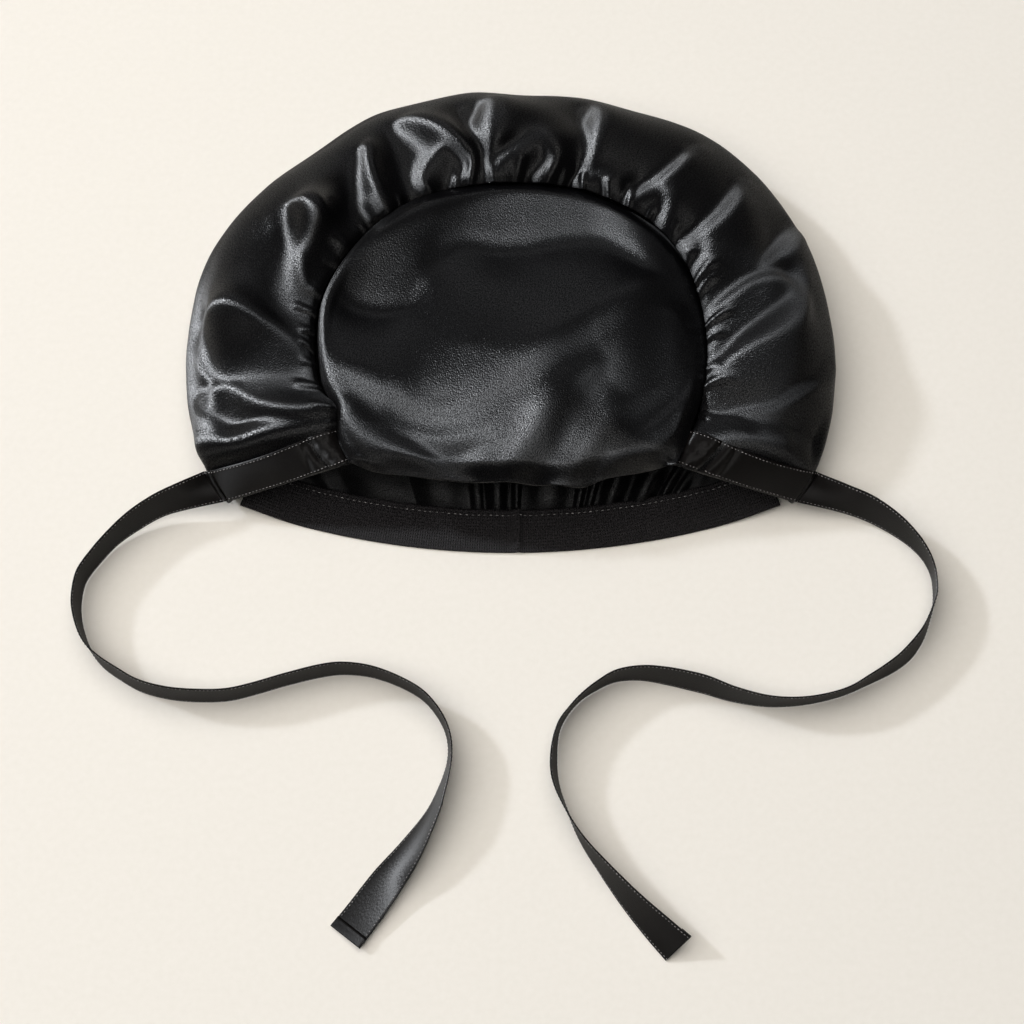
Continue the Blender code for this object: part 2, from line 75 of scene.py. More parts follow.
# Ends of the side panel's long edges, in degrees from +X round the middle of the crown's round
SEAM_LEFT = 214.6
SEAM_RIGHT = -34.3
OUTLINE_LEFT = 205.0
OUTLINE_RIGHT = -25.0
NAPE_HALF_ANGLE = 20.5
TURNED = 1.3

# Grids of the cloth pieces
SIDE_COLUMNS = 545
FRONT_ROWS = 68
TURN_ROWS = 10
BACK_ROWS = 12
CROWN_STEPS = 200
BAND_COLUMNS = 330
BAND_ROWS = 26
RIM_COLUMNS = 110
RIM_ROWS = 22
TIE_COLUMNS = 420
TIE_ROWS = 13

MM = 0.001
BACK_SHARE = 1.010
ROUND_Y = (NAPE_REACH + BAND_WIDTH / 2 - BACK_SHARE * BONNET_WIDTH / 2) / 2
BEND_Y = ROUND_Y - NAPE_REACH + NAPE_BEND
SEAM_LENGTH = math.radians(SEAM_LEFT - SEAM_RIGHT) * CROWN_WIDTH / 2
OUTLINE_LENGTH = math.radians(OUTLINE_LEFT - OUTLINE_RIGHT) * BONNET_WIDTH / 2

# Crown and its seam
CROWN_TILT = 0.085  # the crown is fullest near its lip
CROWN_ROUNDING = 90  # passes that even out the crown's grid
SEAM_TUCK = 0.0017  # the seam's allowances turn down inside
SEAM_TUCK_REACH = 0.0020

# Satin gleams where its threads climb at one slope, which depends on the way that they run
SHEEN_SLOPE = 0.531  # for threads that run to the right
SHEEN_SLOPE_AWAY = -0.029  # for threads that run away from the viewer
CROWN_THREADS = 65.0  # degrees that the crown's threads are turned from its rows
CROWN_SHEEN = 0.21  # what that turn adds to the slope along the crown's columns

# How the cloth settles into its folds
FLANK_EDGE = 0.0018  # way over which the slope changes at the edge of a flank
FLANK_REACH = 0.0120  # how far from its flank a fold is felt
FALL_BASE = 0.42  # how much less the cloth climbs beside the side panel's flanks
CROWN_EDGE = 0.0040
CROWN_FALL = 0.16
LOOSENESS = 0.06  # how firmly the cloth keeps its slope away from the flanks, beside 1 on them
ROW_PULL = 0.03  # how firmly each row of the grid keeps level with the next
STAY_LOW = 46.0  # how strongly the side panel is drawn back to its plain swell
CROWN_LOW = 45.0
SETTLE_STEPS = 600
FOLD_LIFT = 0.0006
FOLD_LIMIT = 0.0085  # height that no fold passes
FOLDS_END = 0.985  # place across the side panel where its folds have run out
FOLDS_FADE = 0.20
PUCKERS = 36
PUCKER_SEED = 11
PUCKER_PINCH = 0.40  # how much narrower a pucker is at the seam

# Elastic, sewing thread and loose ends
BAND_CREASE = (0.0035, -0.1150)
BAND_RIPPLE = 0.35 * MM
EDGE_ROWS = (0.06, 0.94)  # rows of stitches, as shares of a ribbon's width
EDGE_PITCH = 1.76 * MM
STITCH_RISE = 0.05 * MM
STITCH_SIDES = 6
HEM_COLUMNS = 7
HEM_GAP = 0.15 * MM
RIBBON_THREAD = (0.95 * MM, 0.42 * MM, 0.42 * MM)  # length, width and height of a stitch
ELASTIC_THREAD = (1.5 * MM, 0.40 * MM, 0.36 * MM)
HAIR = 0.10 * MM
HAIR_STEPS = 6
HAIR_SIDES = 3
FRAY_SEED = 5
WAVE = 0.314  # distance between a wave texture's crests at a scale of 1

SIDE_PLACES = np.concatenate(
    [
        np.linspace(0.0, 1.0, FRONT_ROWS) ** 1.1,
        np.linspace(1.0, TURNED, TURN_ROWS + 1)[1:],
        np.linspace(TURNED, 2.0, BACK_ROWS + 1)[1:],
    ]
)

# Flanks of the side panel's folds, as closed outlines on the plan in millimetres. Inside one the cloth climbs
# along the strip by more than the sheen's slope, and beside it by less, so its outline is a line of sheen.
FLANKS = [
    # steepness inside, corners
    # left corner
    (0.42, [(-145, -52), (-140, -49), (-134, -47), (-127, -50), (-118, -56), (-102, -61), (-84, -62),
            (-79, -64), (-84, -66), (-104, -68), (-128, -66), (-138, -60)]),
    # left round
    (0.40, [(-146, -26), (-146, -18), (-143, -12), (-137, -8), (-130, -8), (-122, -12), (-114, -17),
            (-105, -22), (-97, -28), (-93, -34), (-94, -40), (-100, -42), (-113, -43), (-125, -44),
            (-135, -44), (-142, -37)]),
    # left hook
    (0.60, [(-110, 42), (-108, 32), (-107, 24), (-108, 15), (-109, 5), (-108, -1), (-105, -6), (-101, -9),
            (-95, -7), (-90, -4), (-85, -3), (-93, 2), (-96, 7), (-97, 13), (-97, 18), (-92, 27), (-89, 36),
            (-92, 40), (-96, 43), (-101, 44), (-106, 44)]),
    # left comma
    (0.30, [(-86, 24), (-82, 26), (-79, 23), (-78, 18), (-80, 13), (-84, 14), (-82, 18), (-82, 22)]),
    # upper left finger
    (0.58, [(-75, 71), (-74, 59), (-73, 51), (-72, 42), (-70, 37), (-66, 32), (-61, 31), (-56, 35),
            (-62, 47), (-66, 59), (-68, 68), (-69, 75), (-72, 79), (-75, 76)]),
    # top left hook
    (0.42, [(-44, 46), (-47, 55), (-51, 70), (-54, 79), (-58, 90), (-54, 93), (-43, 88), (-31, 80),
            (-23, 73), (-19, 65), (-20, 60), (-25, 55), (-28, 50), (-30, 51), (-28, 56), (-24, 60),
            (-22, 64), (-24, 68), (-31, 72), (-37, 68), (-41, 62), (-42, 56), (-40, 48)]),
    # top stem
    (0.46, [(-23, 97), (-20, 86), (-18, 79), (-14, 74), (-12, 70), (-11, 63), (-11, 54), (-9, 54), (-9, 62),
            (-10, 68), (-9, 73), (-5, 84), (-5, 91), (-8, 97), (-16, 100)]),
    # top arch
    (0.25, [(-10, 54), (-8, 63), (-5, 68), (0, 71), (12, 77), (17, 75), (20, 70), (20, 64), (16, 60),
            (12, 54), (9, 56), (17, 65), (17, 68), (16, 71), (12, 74), (-1, 67), (-5, 64), (-8, 60),
            (-8, 54)]),
    # top right stem
    (0.42, [(34, 96), (34, 85), (37, 72), (36, 66), (33, 60), (28, 53), (30, 52), (39, 64), (43, 78),
            (45, 87), (42, 96), (38, 99)]),
    # top right hoop
    (0.25, [(31, 50), (33, 57), (38, 60), (43, 59), (48, 55), (47, 48), (45, 49), (46, 54), (42, 57),
            (38, 58), (35, 55), (33, 50)]),
    # upper right finger
    (0.38, [(89, 75), (85, 66), (79, 58), (73, 53), (65, 49), (54, 41), (53, 43), (56, 47), (62, 52),
            (70, 56), (77, 63), (83, 70)]),
    # upper right hoop
    (0.25, [(62, 50), (68, 52), (74, 50), (77, 44), (75, 36), (72, 30), (69, 32), (72, 39), (73, 44),
            (68, 50), (65, 47)]),
    # right finger
    (0.22, [(112, 58), (108, 44), (102, 34), (95, 27), (88, 22), (80, 18), (78, 20), (84, 25), (91, 31),
            (97, 38), (103, 48), (108, 56)]),
    # right hoop
    (0.25, [(87, 22), (91, 24), (94, 20), (93, 13), (87, 3), (86, 4), (87, 10), (90, 14), (91, 18),
            (89, 21)]),
    # right shoulder
    (0.32, [(121, 20), (126, 29), (134, 38), (137, 34), (133, 21), (123, 13), (116, 8), (118, 15)]),
    # right arch
    (0.36, [(90, -18), (95, -10), (101, -4), (112, 4), (123, 8), (132, 7), (136, 0), (134, -14), (125, -24),
            (112, -32), (99, -39), (96, -36), (106, -25), (118, -15), (128, -5), (127, 1), (121, 2),
            (113, 0), (104, -7), (97, -13), (93, -20)]),
    # right tongue
    (0.22, [(91, -37), (97, -35), (101, -40), (94, -45), (89, -50), (87, -48), (96, -38), (92, -38)]),
    # right corner
    (0.20, [(145, -35), (148, -39), (145, -44), (132, -54), (120, -61), (102, -63), (101, -61), (119, -59),
            (130, -51), (140, -42)]),
    # right ribbon side
    (0.22, [(85, -66), (86, -62), (99, -63), (107, -68), (114, -75), (111, -77), (105, -72), (98, -67)]),
    # right corner tip
    (0.22, [(118, -74), (122, -70), (130, -72), (132, -79), (129, -82), (128, -77), (124, -75)]),
]

# The same for the crown, whose slope is taken from its lip to its far seam
CROWN_FLANKS = [
    # steepness inside, corners
    # lip left
    (0.30, [(-87, -51), (-79, -57), (-74, -66), (-66, -74), (-53, -79), (-42, -84), (-34, -90), (-26, -96),
            (-24, -117), (-49, -112), (-76, -103), (-90, -74)]),
    # lip middle
    (0.30, [(-26, -97), (-19, -90), (-11, -88), (-4, -90), (2, -86), (10, -72), (18, -61), (28, -52),
            (40, -43), (48, -40), (41, -52), (31, -66), (22, -79), (17, -93), (16, -114), (-4, -119),
            (-24, -119)]),
    # lip ridge
    (0.10, [(28, -97), (32, -87), (39, -77), (48, -67), (60, -56), (70, -49), (76, -40), (79, -42),
            (73, -53), (63, -61), (52, -71), (43, -81), (37, -89), (33, -99)]),
    # lip right
    (0.26, [(36, -99), (43, -89), (60, -82), (70, -74), (82, -61), (97, -54), (101, -74), (89, -103),
            (62, -117), (36, -117)]),
    # long valley
    (0.08, [(-63, -51), (-52, -54), (-40, -61), (-25, -62), (-6, -51), (17, -36), (44, -20), (60, -8),
            (73, 4), (77, 0), (64, -13), (48, -25), (21, -41), (-2, -56), (-24, -68), (-42, -66),
            (-54, -59), (-64, -55)]),
    # right hollow
    (0.05, [(41, -24), (60, -18), (76, -19), (79, -32), (70, -45), (54, -55), (46, -49), (43, -37)]),
    # far edge
    (-0.03, [(-73, 10), (-64, 19), (-52, 27), (-38, 35), (-24, 41), (-5, 46), (5, 48), (23, 47), (42, 41),
            (57, 32), (70, 21), (80, 8), (87, -5), (89, -17), (84, -9), (75, 1), (64, 12), (52, 22),
            (42, 28), (28, 29), (14, 27), (-5, 26), (-19, 29), (-30, 26), (-42, 16), (-46, 5), (-53, -3),
            (-67, -3), (-76, 1)]),
    # left dimple
    (0.10, [(-85, -47), (-75, -44), (-67, -47), (-58, -52), (-63, -55), (-73, -51), (-83, -53)]),
]

# Standing gathers behind the elastic, in millimetres: middle, half width, height and how far back they run
GATHERS = [
    # middle, half width, height, reach
    (-104.0, 6.0, 3.0, 16.0),
    (-88.0, 5.0, 4.0, 20.0),
    (-62.0, 14.0, 6.0, 22.0),
    (-34.0, 10.0, 9.0, 20.0),
    (-16.0, 2.8, 7.0, 18.0),
    (-6.6, 4.0, 10.0, 20.0),
    (3.0, 1.8, 7.5, 18.0),
    (17.5, 8.0, 9.0, 20.0),
    (33.4, 2.0, 7.0, 16.0),
    (39.0, 1.8, 6.0, 16.0),
    (49.0, 4.4, 8.5, 18.0),
    (64.0, 5.0, 7.5, 18.0),
    (74.0, 2.0, 5.0, 14.0),
    (81.0, 2.4, 5.0, 14.0),
    (90.0, 3.2, 4.0, 14.0),
    (103.0, 5.0, 3.0, 14.0),
]

# Outline of the side panel: share of half the bonnet's width at each angle
OUTLINE = [
    # angle, reach
    (-25.0, 0.952),
    (-20.0, 0.978),
    (-9.0, 0.993),
    (2.0, 1.000),
    (11.0, 1.002),
    (28.0, 1.027),
    (40.0, 1.034),
    (53.0, 1.025),
    (67.0, 0.979),
    (77.0, 0.977),
    (88.0, 0.957),
    (98.0, 0.983),
    (107.0, 0.990),
    (116.0, 1.004),
    (129.0, 0.990),
    (142.0, 1.010),
    (157.0, 1.027),
    (170.0, 1.011),
    (181.0, 0.999),
    (191.0, 0.988),
    (199.6, 0.974),
    (205.0, 0.951),
]

# Crown seam: share of half the crown's width at each angle
SEAM = [
    # angle, reach
    (-34.3, 0.991),
    (-21.0, 0.967),
    (-8.0, 0.979),
    (2.0, 0.996),
    (15.0, 1.013),
    (25.0, 1.035),
    (44.0, 1.053),
    (55.0, 1.038),
    (68.0, 1.022),
    (78.0, 1.003),
    (90.0, 0.993),
    (102.0, 0.999),
    (111.0, 1.014),
    (125.0, 1.029),
    (144.0, 1.016),
    (161.0, 1.004),
    (171.0, 0.979),
    (180.0, 0.958),
    (189.0, 0.943),
    (197.0, 0.911),
    (206.0, 0.952),
    (214.6, 0.965),
]

# Small folds across the sewn ribbons, from the crown's corner to the mouth corner
RIM_FOLDS = {
    # place, lean, height in millimetres, half width
    -1: [(0.10, 0.04, 1.2, 0.024), (0.19, -0.03, 0.4, 0.016), (0.90, -0.04, 1.7, 0.022)],
    1: [(0.12, 0.06, 1.5, 0.024), (0.22, 0.03, 0.6, 0.016), (0.93, -0.03, 0.9, 0.020)],
}

# Crown lip from its left corner to the right one: forward reach as a share of LIP_REACH, height as one
# of SEAM_HEIGHT
LIP = [
    # along, reach, height
    (0.00, 0.840, 1.00),
    (0.08, 0.905, 0.94),
    (0.20, 0.955, 0.97),
    (0.33, 1.000, 0.90),
    (0.48, 1.006, 1.00),
    (0.62, 1.018, 0.98),
    (0.71, 1.022, 0.89),
    (0.79, 0.950, 0.98),
    (0.90, 0.880, 0.95),
    (1.00, 0.860, 1.00),
]

# Free stretch of the left tie, measured from the mouth corner: where its lower edge runs, how high that
# edge is and how far the ribbon leans over to its right as it runs away from the bonnet
LEFT_ROUTE = [
    # x, y, lift, lean
    (-0.0190, -0.0028, 0.0056, 30.0),
    (-0.0296, -0.0055, 0.0036, 20.0),
    (-0.0402, -0.0112, 0.0018, 15.0),
    (-0.0497, -0.0182, 0.0009, 8.0),
    (-0.0571, -0.0268, 0.0006, 6.0),
    (-0.0630, -0.0360, 0.0006, 5.0),
    (-0.0646, -0.0452, 0.0006, 5.0),
    (-0.0641, -0.0533, 0.0006, 5.0),
    (-0.0616, -0.0624, 0.0006, 4.0),
    (-0.0580, -0.0699, 0.0006, 2.0),
    (-0.0528, -0.0765, 0.0006, -3.0),
    (-0.0455, -0.0820, 0.0006, -5.0),
    (-0.0346, -0.0882, 0.0006, -5.0),
    (-0.0216, -0.0917, 0.0006, -5.0),
    (-0.0085, -0.0929, 0.0006, -5.0),
    (0.0049, -0.0924, 0.0006, -4.0),
    (0.0165, -0.0896, 0.0006, -3.0),
    (0.0317, -0.0850, 0.0006, -3.0),
    (0.0474, -0.0812, 0.0006, -4.0),
    (0.0578, -0.0802, 0.0006, -4.0),
    (0.0700, -0.0817, 0.0006, -3.0),
    (0.0828, -0.0864, 0.0006, -2.0),
    (0.0932, -0.0929, 0.0006, -2.0),
    (0.1006, -0.1026, 0.0006, -3.0),
    (0.1038, -0.1120, 0.0006, -5.0),
    (0.1034, -0.1219, 0.0006, -9.0),
    (0.0991, -0.1341, 0.0006, -17.0),
    (0.0935, -0.1445, 0.0006, -28.0),
    (0.0827, -0.1578, 0.0006, -50.0),
    (0.0719, -0.1697, 0.0007, -70.0),
    (0.0622, -0.1824, 0.0008, -79.0),
    (0.0537, -0.1933, 0.0008, -84.0),
]

# Free stretch of the right tie
RIGHT_ROUTE = [
    # x, y, lift, lean
    (0.0206, -0.0036, 0.0055, -31.0),
    (0.0328, -0.0071, 0.0030, -24.0),
    (0.0443, -0.0128, 0.0013, -14.0),
    (0.0532, -0.0194, 0.0007, -4.0),
    (0.0588, -0.0262, 0.0006, 2.0),
    (0.0616, -0.0334, 0.0006, 4.0),
    (0.0621, -0.0402, 0.0006, 4.0),
    (0.0616, -0.0469, 0.0006, 4.0),
    (0.0592, -0.0555, 0.0006, 7.0),
    (0.0558, -0.0641, 0.0006, 11.0),
    (0.0499, -0.0726, 0.0006, 14.0),
    (0.0413, -0.0791, 0.0006, 10.0),
    (0.0288, -0.0852, 0.0006, 3.0),
    (0.0168, -0.0903, 0.0006, -2.0),
    (0.0004, -0.0941, 0.0006, -2.0),
    (-0.0159, -0.0950, 0.0006, 2.0),
    (-0.0315, -0.0927, 0.0006, 8.0),
    (-0.0435, -0.0892, 0.0006, 13.0),
    (-0.0512, -0.0872, 0.0006, 14.0),
    (-0.0624, -0.0845, 0.0006, 12.0),
    (-0.0732, -0.0827, 0.0006, 8.0),
    (-0.0841, -0.0835, 0.0006, 4.0),
    (-0.0927, -0.0872, 0.0006, 0.0),
    (-0.1004, -0.0923, 0.0006, -3.0),
    (-0.1063, -0.0992, 0.0006, -2.0),
    (-0.1100, -0.1071, 0.0006, 3.0),
    (-0.1110, -0.1185, 0.0006, 10.0),
    (-0.1102, -0.1303, 0.0006, 12.0),
    (-0.1063, -0.1429, 0.0006, 8.0),
    (-0.1007, -0.1567, 0.0006, -1.0),
    (-0.0925, -0.1704, 0.0006, -12.0),
    (-0.0827, -0.1852, 0.0006, -26.0),
    (-0.0725, -0.1986, 0.0006, -42.0),
    (-0.0645, -0.2081, 0.0007, -55.0),
]


def lerp(a, b, share):
    """Value between a and b."""
    return a + (b - a) * share


def ease(share):
    """Smooth step from 0 to 1."""
    share = np.clip(share, 0.0, 1.0)
    return share * share * (3.0 - 2.0 * share)


def hermite(a, b, slope_a, slope_b, t):
    """Smooth curve from a to b with the slopes given there."""
    ends = a * (1 + 2 * t) * (1 - t) ** 2 + b * t * t * (3 - 2 * t)
    return ends + slope_a * t * (1 - t) ** 2 - slope_b * t * t * (1 - t)


def read_table(rows, column, place):
    """Smooth curve through one column of a table, at places of its first column."""
    table = np.array(rows)
    places = table[:, 0]
    values = table[:, column]
    last = len(places) - 1
    index = np.arange(last + 1)
    before = np.maximum(index - 1, 0)
    after = np.minimum(index + 1, last)
    slopes = (values[after] - values[before]) / (places[after] - places[before])
    place = np.clip(place, places[0], places[-1])
    k = np.clip(np.searchsorted(places, place, side="right") - 1, 0, last - 1)
    step = places[k + 1] - places[k]
    t = (place - places[k]) / step
    return hermite(values[k], values[k + 1], slopes[k] * step, slopes[k + 1] * step, t)


def smooth_through(points, count):
    """Evenly counted points of a smooth curve through a few."""
    points = np.asarray(points, dtype=float)
    spans = len(points) - 1
    place = np.linspace(0.0, spans, count)
    k = np.minimum(place.astype(int), spans - 1)
    t = (place - k)[:, None]
    a = points[np.maximum(k - 1, 0)]
    b = points[k]
    c = points[k + 1]
    d = points[np.minimum(k + 2, spans)]
    return hermite(b, c, (c - a) / 2, (d - b) / 2, t)


def with_height(flat, height):
    """Points of the plan with a height."""
    return np.concatenate([flat, np.broadcast_to(height, flat.shape[:-1])[..., None]], axis=-1)


def round_point(angle, reach):
    """Plan point at an angle in degrees and a distance from the round's middle."""
    turn = np.radians(angle)
    return np.stack([reach * np.cos(turn), ROUND_Y + reach * np.sin(turn)], axis=-1)


def seam_point(angle):
    """Plan point of the crown seam."""
    return round_point(angle, read_table(SEAM, 1, angle) * CROWN_WIDTH / 2)


def outline_point(angle):
    """Plan point of the side panel's widest line."""
    return round_point(angle, read_table(OUTLINE, 1, angle) * BONNET_WIDTH / 2)


def nape_point(angle, outwards):
    """Plan point beside the elastic's middle line; outwards is towards the wearer's neck."""
    turn = np.radians(angle)
    reach = NAPE_BEND + outwards
    return np.stack([reach * np.sin(turn), BEND_Y - reach * np.cos(turn)], axis=-1)


def rim_distance(along, across):
    """Length of cloth between a point and the nearer front rim."""
    length = lerp(SEAM_LENGTH, OUTLINE_LENGTH, np.minimum(across, 1.0))
    return np.minimum(along, 1.0 - along) * length


def puff(share):
    """Swell of the side panel over the straight way from seam to outline, fullest nearer the seam."""
    return PUFF_RISE * (np.sin(math.pi * share) + 0.35 * np.sin(2 * math.pi * share))


def rim_drop(along, across):
    """How far the strip beside the front rim lies below the swell."""
    share = np.minimum(across, 1.0)
    turn = share * math.pi / 2
    full = lerp(EDGE_HEIGHT, SEAM_HEIGHT, np.cos(turn)) + puff(share)
    rim = lerp(RIM_HEIGHT_AT_CROWN, RIM_HEIGHT_AT_CORNER, np.sin(turn))
    away = np.minimum(rim_distance(along, across) / RIM_FALL, 1.0)
    return (full - rim) * (1.0 - away) ** 2


def behind_elastic(plan):
    """Distance of plan points behind the elastic's upper edge."""
    return NAPE_BEND - BAND_WIDTH / 2 - np.hypot(plan[..., 0], BEND_Y - plan[..., 1])


def side_row(along, across):
    """One cross line of the side panel, without its folds."""
    seam = seam_point(lerp(SEAM_LEFT, SEAM_RIGHT, along))
    edge = outline_point(lerp(OUTLINE_LEFT, OUTLINE_RIGHT, along))
    drop = rim_drop(along, across)
    if across <= 1.0:
        turn = across * math.pi / 2
        plan = lerp(seam, edge, math.sin(turn))
        height = lerp(EDGE_HEIGHT, SEAM_HEIGHT, math.cos(turn)) + puff(across) - drop
        return with_height(plan, height)
    nape = nape_point(lerp(-NAPE_HALF_ANGLE, NAPE_HALF_ANGLE, along), TUCK - BAND_WIDTH / 2)
    inwards = nape - edge
    reach = np.linalg.norm(inwards, axis=-1, keepdims=True)
    flat = edge + inwards / reach * np.minimum(TURN_DEPTH, 0.45 * reach)
    edge_height = EDGE_HEIGHT - drop
    if across < TURNED:
        turn = (across - 1.0) / (TURNED - 1.0) * math.pi / 2
        plan = lerp(edge, flat, 1.0 - math.cos(turn))
        return with_height(plan, lerp(edge_height, SATIN / 2, math.sin(turn)))
    share = (across - TURNED) / (2.0 - TURNED)
    return with_height(lerp(flat, nape, share), SATIN / 2)


def side_grid():
    """Points of the side panel without its folds, row by row from the seam to the edge under the elastic."""
    along = np.linspace(0.0, 1.0, SIDE_COLUMNS)
    return np.stack([side_row(along, across) for across in SIDE_PLACES])


def at_place(grid, along, across):
    """Points or directions of the side panel's grid at places along and across it."""
    column = np.clip(np.asarray(along, dtype=float), 0.0, 1.0) * (SIDE_COLUMNS - 1)
    row = np.interp(across, SIDE_PLACES, np.arange(len(SIDE_PLACES)))
    left = np.minimum(column.astype(int), SIDE_COLUMNS - 2)
    upper = np.minimum(row.astype(int), len(SIDE_PLACES) - 2)
    x = (column - left)[..., None]
    y = (row - upper)[..., None]
    top = lerp(grid[upper, left], grid[upper, left + 1], x)
    bottom = lerp(grid[upper + 1, left], grid[upper + 1, left + 1], x)
    return lerp(top, bottom, y)


def unit(ways):
    """Directions of the same headings, one metre long."""
    return ways / np.maximum(np.linalg.norm(ways, axis=-1, keepdims=True), 1e-12)


def outward(grid):
    """Outward directions of a grid of points."""
    return unit(np.cross(np.gradient(grid, axis=1), np.gradient(grid, axis=0)))


def off_line(points, line):
    """Distance of points from a line of points, and the share of its length where they are nearest."""
    steps = np.linalg.norm(np.diff(line, axis=0), axis=1)
    start = np.concatenate([[0.0], np.cumsum(steps)])
    best = np.full(len(points), 1.0)
    share = np.zeros(len(points))
    for k in range(len(line) - 1):
        way = line[k + 1] - line[k]
        t = np.clip((points - line[k]) @ way / (way @ way), 0.0, 1.0)
        distance = np.linalg.norm(points - line[k] - t[:, None] * way, axis=1)
        nearer = distance < best
        best = np.where(nearer, distance, best)
        share = np.where(nearer, (start[k] + t * steps[k]) / start[-1], share)
    return best, share


def add_pucker(rise, points, line, height, half):
    """Add one soft pucker along a line that ends at the seam."""
    room = 3.0 * half
    inside = (points > line.min(axis=0) - room) & (points < line.max(axis=0) + room)
    near = np.flatnonzero(np.all(inside, axis=1))
    distance, share = off_line(points[near], line)
    width = half * lerp(1.0, 1.0 - PUCKER_PINCH, share)
    swell = height * ease((share + 0.06) / 0.30)
    rise[near] += swell * (1.0 + np.cos(math.pi * np.minimum(distance / (1.75 * width), 1.0))) / 2


def pucker_lines():
    """Short tight puckers all along the crown seam: place, length, lean, height and half width."""
    chance = np.random.default_rng(PUCKER_SEED)
    for k in range(PUCKERS):
        along = (k + 0.5 + chance.uniform(-0.35, 0.35)) / PUCKERS
        reach = chance.uniform(0.05, 0.17)
        lean = chance.uniform(-0.010, 0.010)
        height = chance.uniform(0.4, 1.1) * MM
        half = chance.uniform(1.6, 3.2) * MM
        yield along, reach, lean, height, half


def depth_inside(plan, ring):
    """Distance of plan points from a closed outline, positive inside it and negative outside."""
    ring = smooth_through(np.array(ring[-1:] + ring + ring[:2]) * MM, 16 * len(ring) // 3)
    ring = ring[np.linalg.norm(np.diff(ring, axis=0, append=ring[:1]), axis=1) > 1e-7]
    best = np.full(len(plan), 1.0)
    inside = np.zeros(len(plan), dtype=bool)
    for k in range(len(ring)):
        a = ring[k - 1]
        way = ring[k] - a
        off = plan - a
        t = np.clip(off @ way / (way @ way), 0.0, 1.0)
        best = np.minimum(best, np.linalg.norm(off - t[:, None] * way, axis=1))
        spans = (a[1] > plan[:, 1]) != (ring[k][1] > plan[:, 1])
        if way[1] != 0.0:
            inside ^= spans & (plan[:, 0] < a[0] + way[0] * (plan[:, 1] - a[1]) / way[1])
    return np.where(inside, best, -best)


def wanted_slopes(grid, flanks, edge, drop, shift):
    """Slope along the threads that the cloth should have at each point of its grid, and how firmly."""
    way = unit(np.gradient(grid, axis=1)[..., :2])
    sheen = SHEEN_SLOPE * way[..., 0] + SHEEN_SLOPE_AWAY * way[..., 1] + shift
    plan = grid[..., :2].reshape(-1, 2)
    slope = np.full(len(plan), -1.0)
    reach = np.full(len(plan), -1.0)
    for steepness, ring in flanks:
        corners = np.array(ring) * MM
        around = (plan > corners.min(axis=0) - FLANK_REACH) & (plan < corners.max(axis=0) + FLANK_REACH)
        near = np.all(around, axis=1)
        depth = depth_inside(plan[near], ring)
        deeper = depth > reach[near]
        reach[near] = np.where(deeper, depth, reach[near])
        slope[near] = np.where(deeper, steepness, slope[near])
    reach = reach.reshape(sheen.shape)
    slope = slope.reshape(sheen.shape)
    climb = slope * (1.0 - np.exp(-np.maximum(reach, 0.0) / edge))
    fall = (drop + 0.45 * np.abs(sheen - shift)) * (1.0 - np.exp(np.minimum(reach, 0.0) / edge))
    firm = np.where(reach > 0.0, 1.0, lerp(LOOSENESS, 1.0, np.exp(-((reach / edge) ** 2))))
    return sheen + np.where(reach > 0.0, climb, -fall), firm


def settle(grid, flanks, edge, drop, low, shift=0.0):
    """Heights over a grid, low ones, whose slopes along its rows come nearest to the wanted slopes.

    They answer one large set of linear equations, which conjugate gradients solve step by step.
    """
    slope, firm = wanted_slopes(grid, flanks, edge, drop, shift)
    run = np.linalg.norm(np.diff(grid, axis=1), axis=-1)
    fall = np.linalg.norm(np.diff(grid, axis=0), axis=-1)
    run = np.maximum(run, 0.05 * MM)
    fall = np.maximum(fall, 0.05 * MM)
    slope = (slope[:, 1:] + slope[:, :-1]) / 2 - np.diff(grid[..., 2], axis=1) / run
    firm = (firm[:, 1:] + firm[:, :-1]) / 2

    def stiffness(z):
        along = firm * np.diff(z, axis=1) / run
        down = ROW_PULL * np.diff(z, axis=0) / fall
        out = low * z
        out[:, 1:] += along / run
        out[:, :-1] -= along / run
        out[1:] += down / fall
        out[:-1] -= down / fall
        return out

    pull = np.zeros((slope.shape[0], slope.shape[1] + 1))
    pull[:, 1:] += firm * slope / run
    pull[:, :-1] -= firm * slope / run
    z = np.zeros(pull.shape)
    rest = pull - stiffness(z)
    way = rest.copy()
    size = np.sum(rest * rest)
    for _ in range(SETTLE_STEPS):
        pushed = stiffness(way)
        share = size / np.sum(way * pushed)
        z += share * way
        rest -= share * pushed
        smaller = np.sum(rest * rest)
        way = rest + smaller / size * way
        size = smaller
    return z


def softened(z, times):
    """Heights smoothed a little, the way cloth rounds its own creases."""
    for _ in range(times):
        z = np.pad(z, 1, mode="edge")
        z = z[1:-1, 1:-1] / 2 + (z[2:, 1:-1] + z[:-2, 1:-1] + z[1:-1, 2:] + z[1:-1, :-2]) / 8
    return z


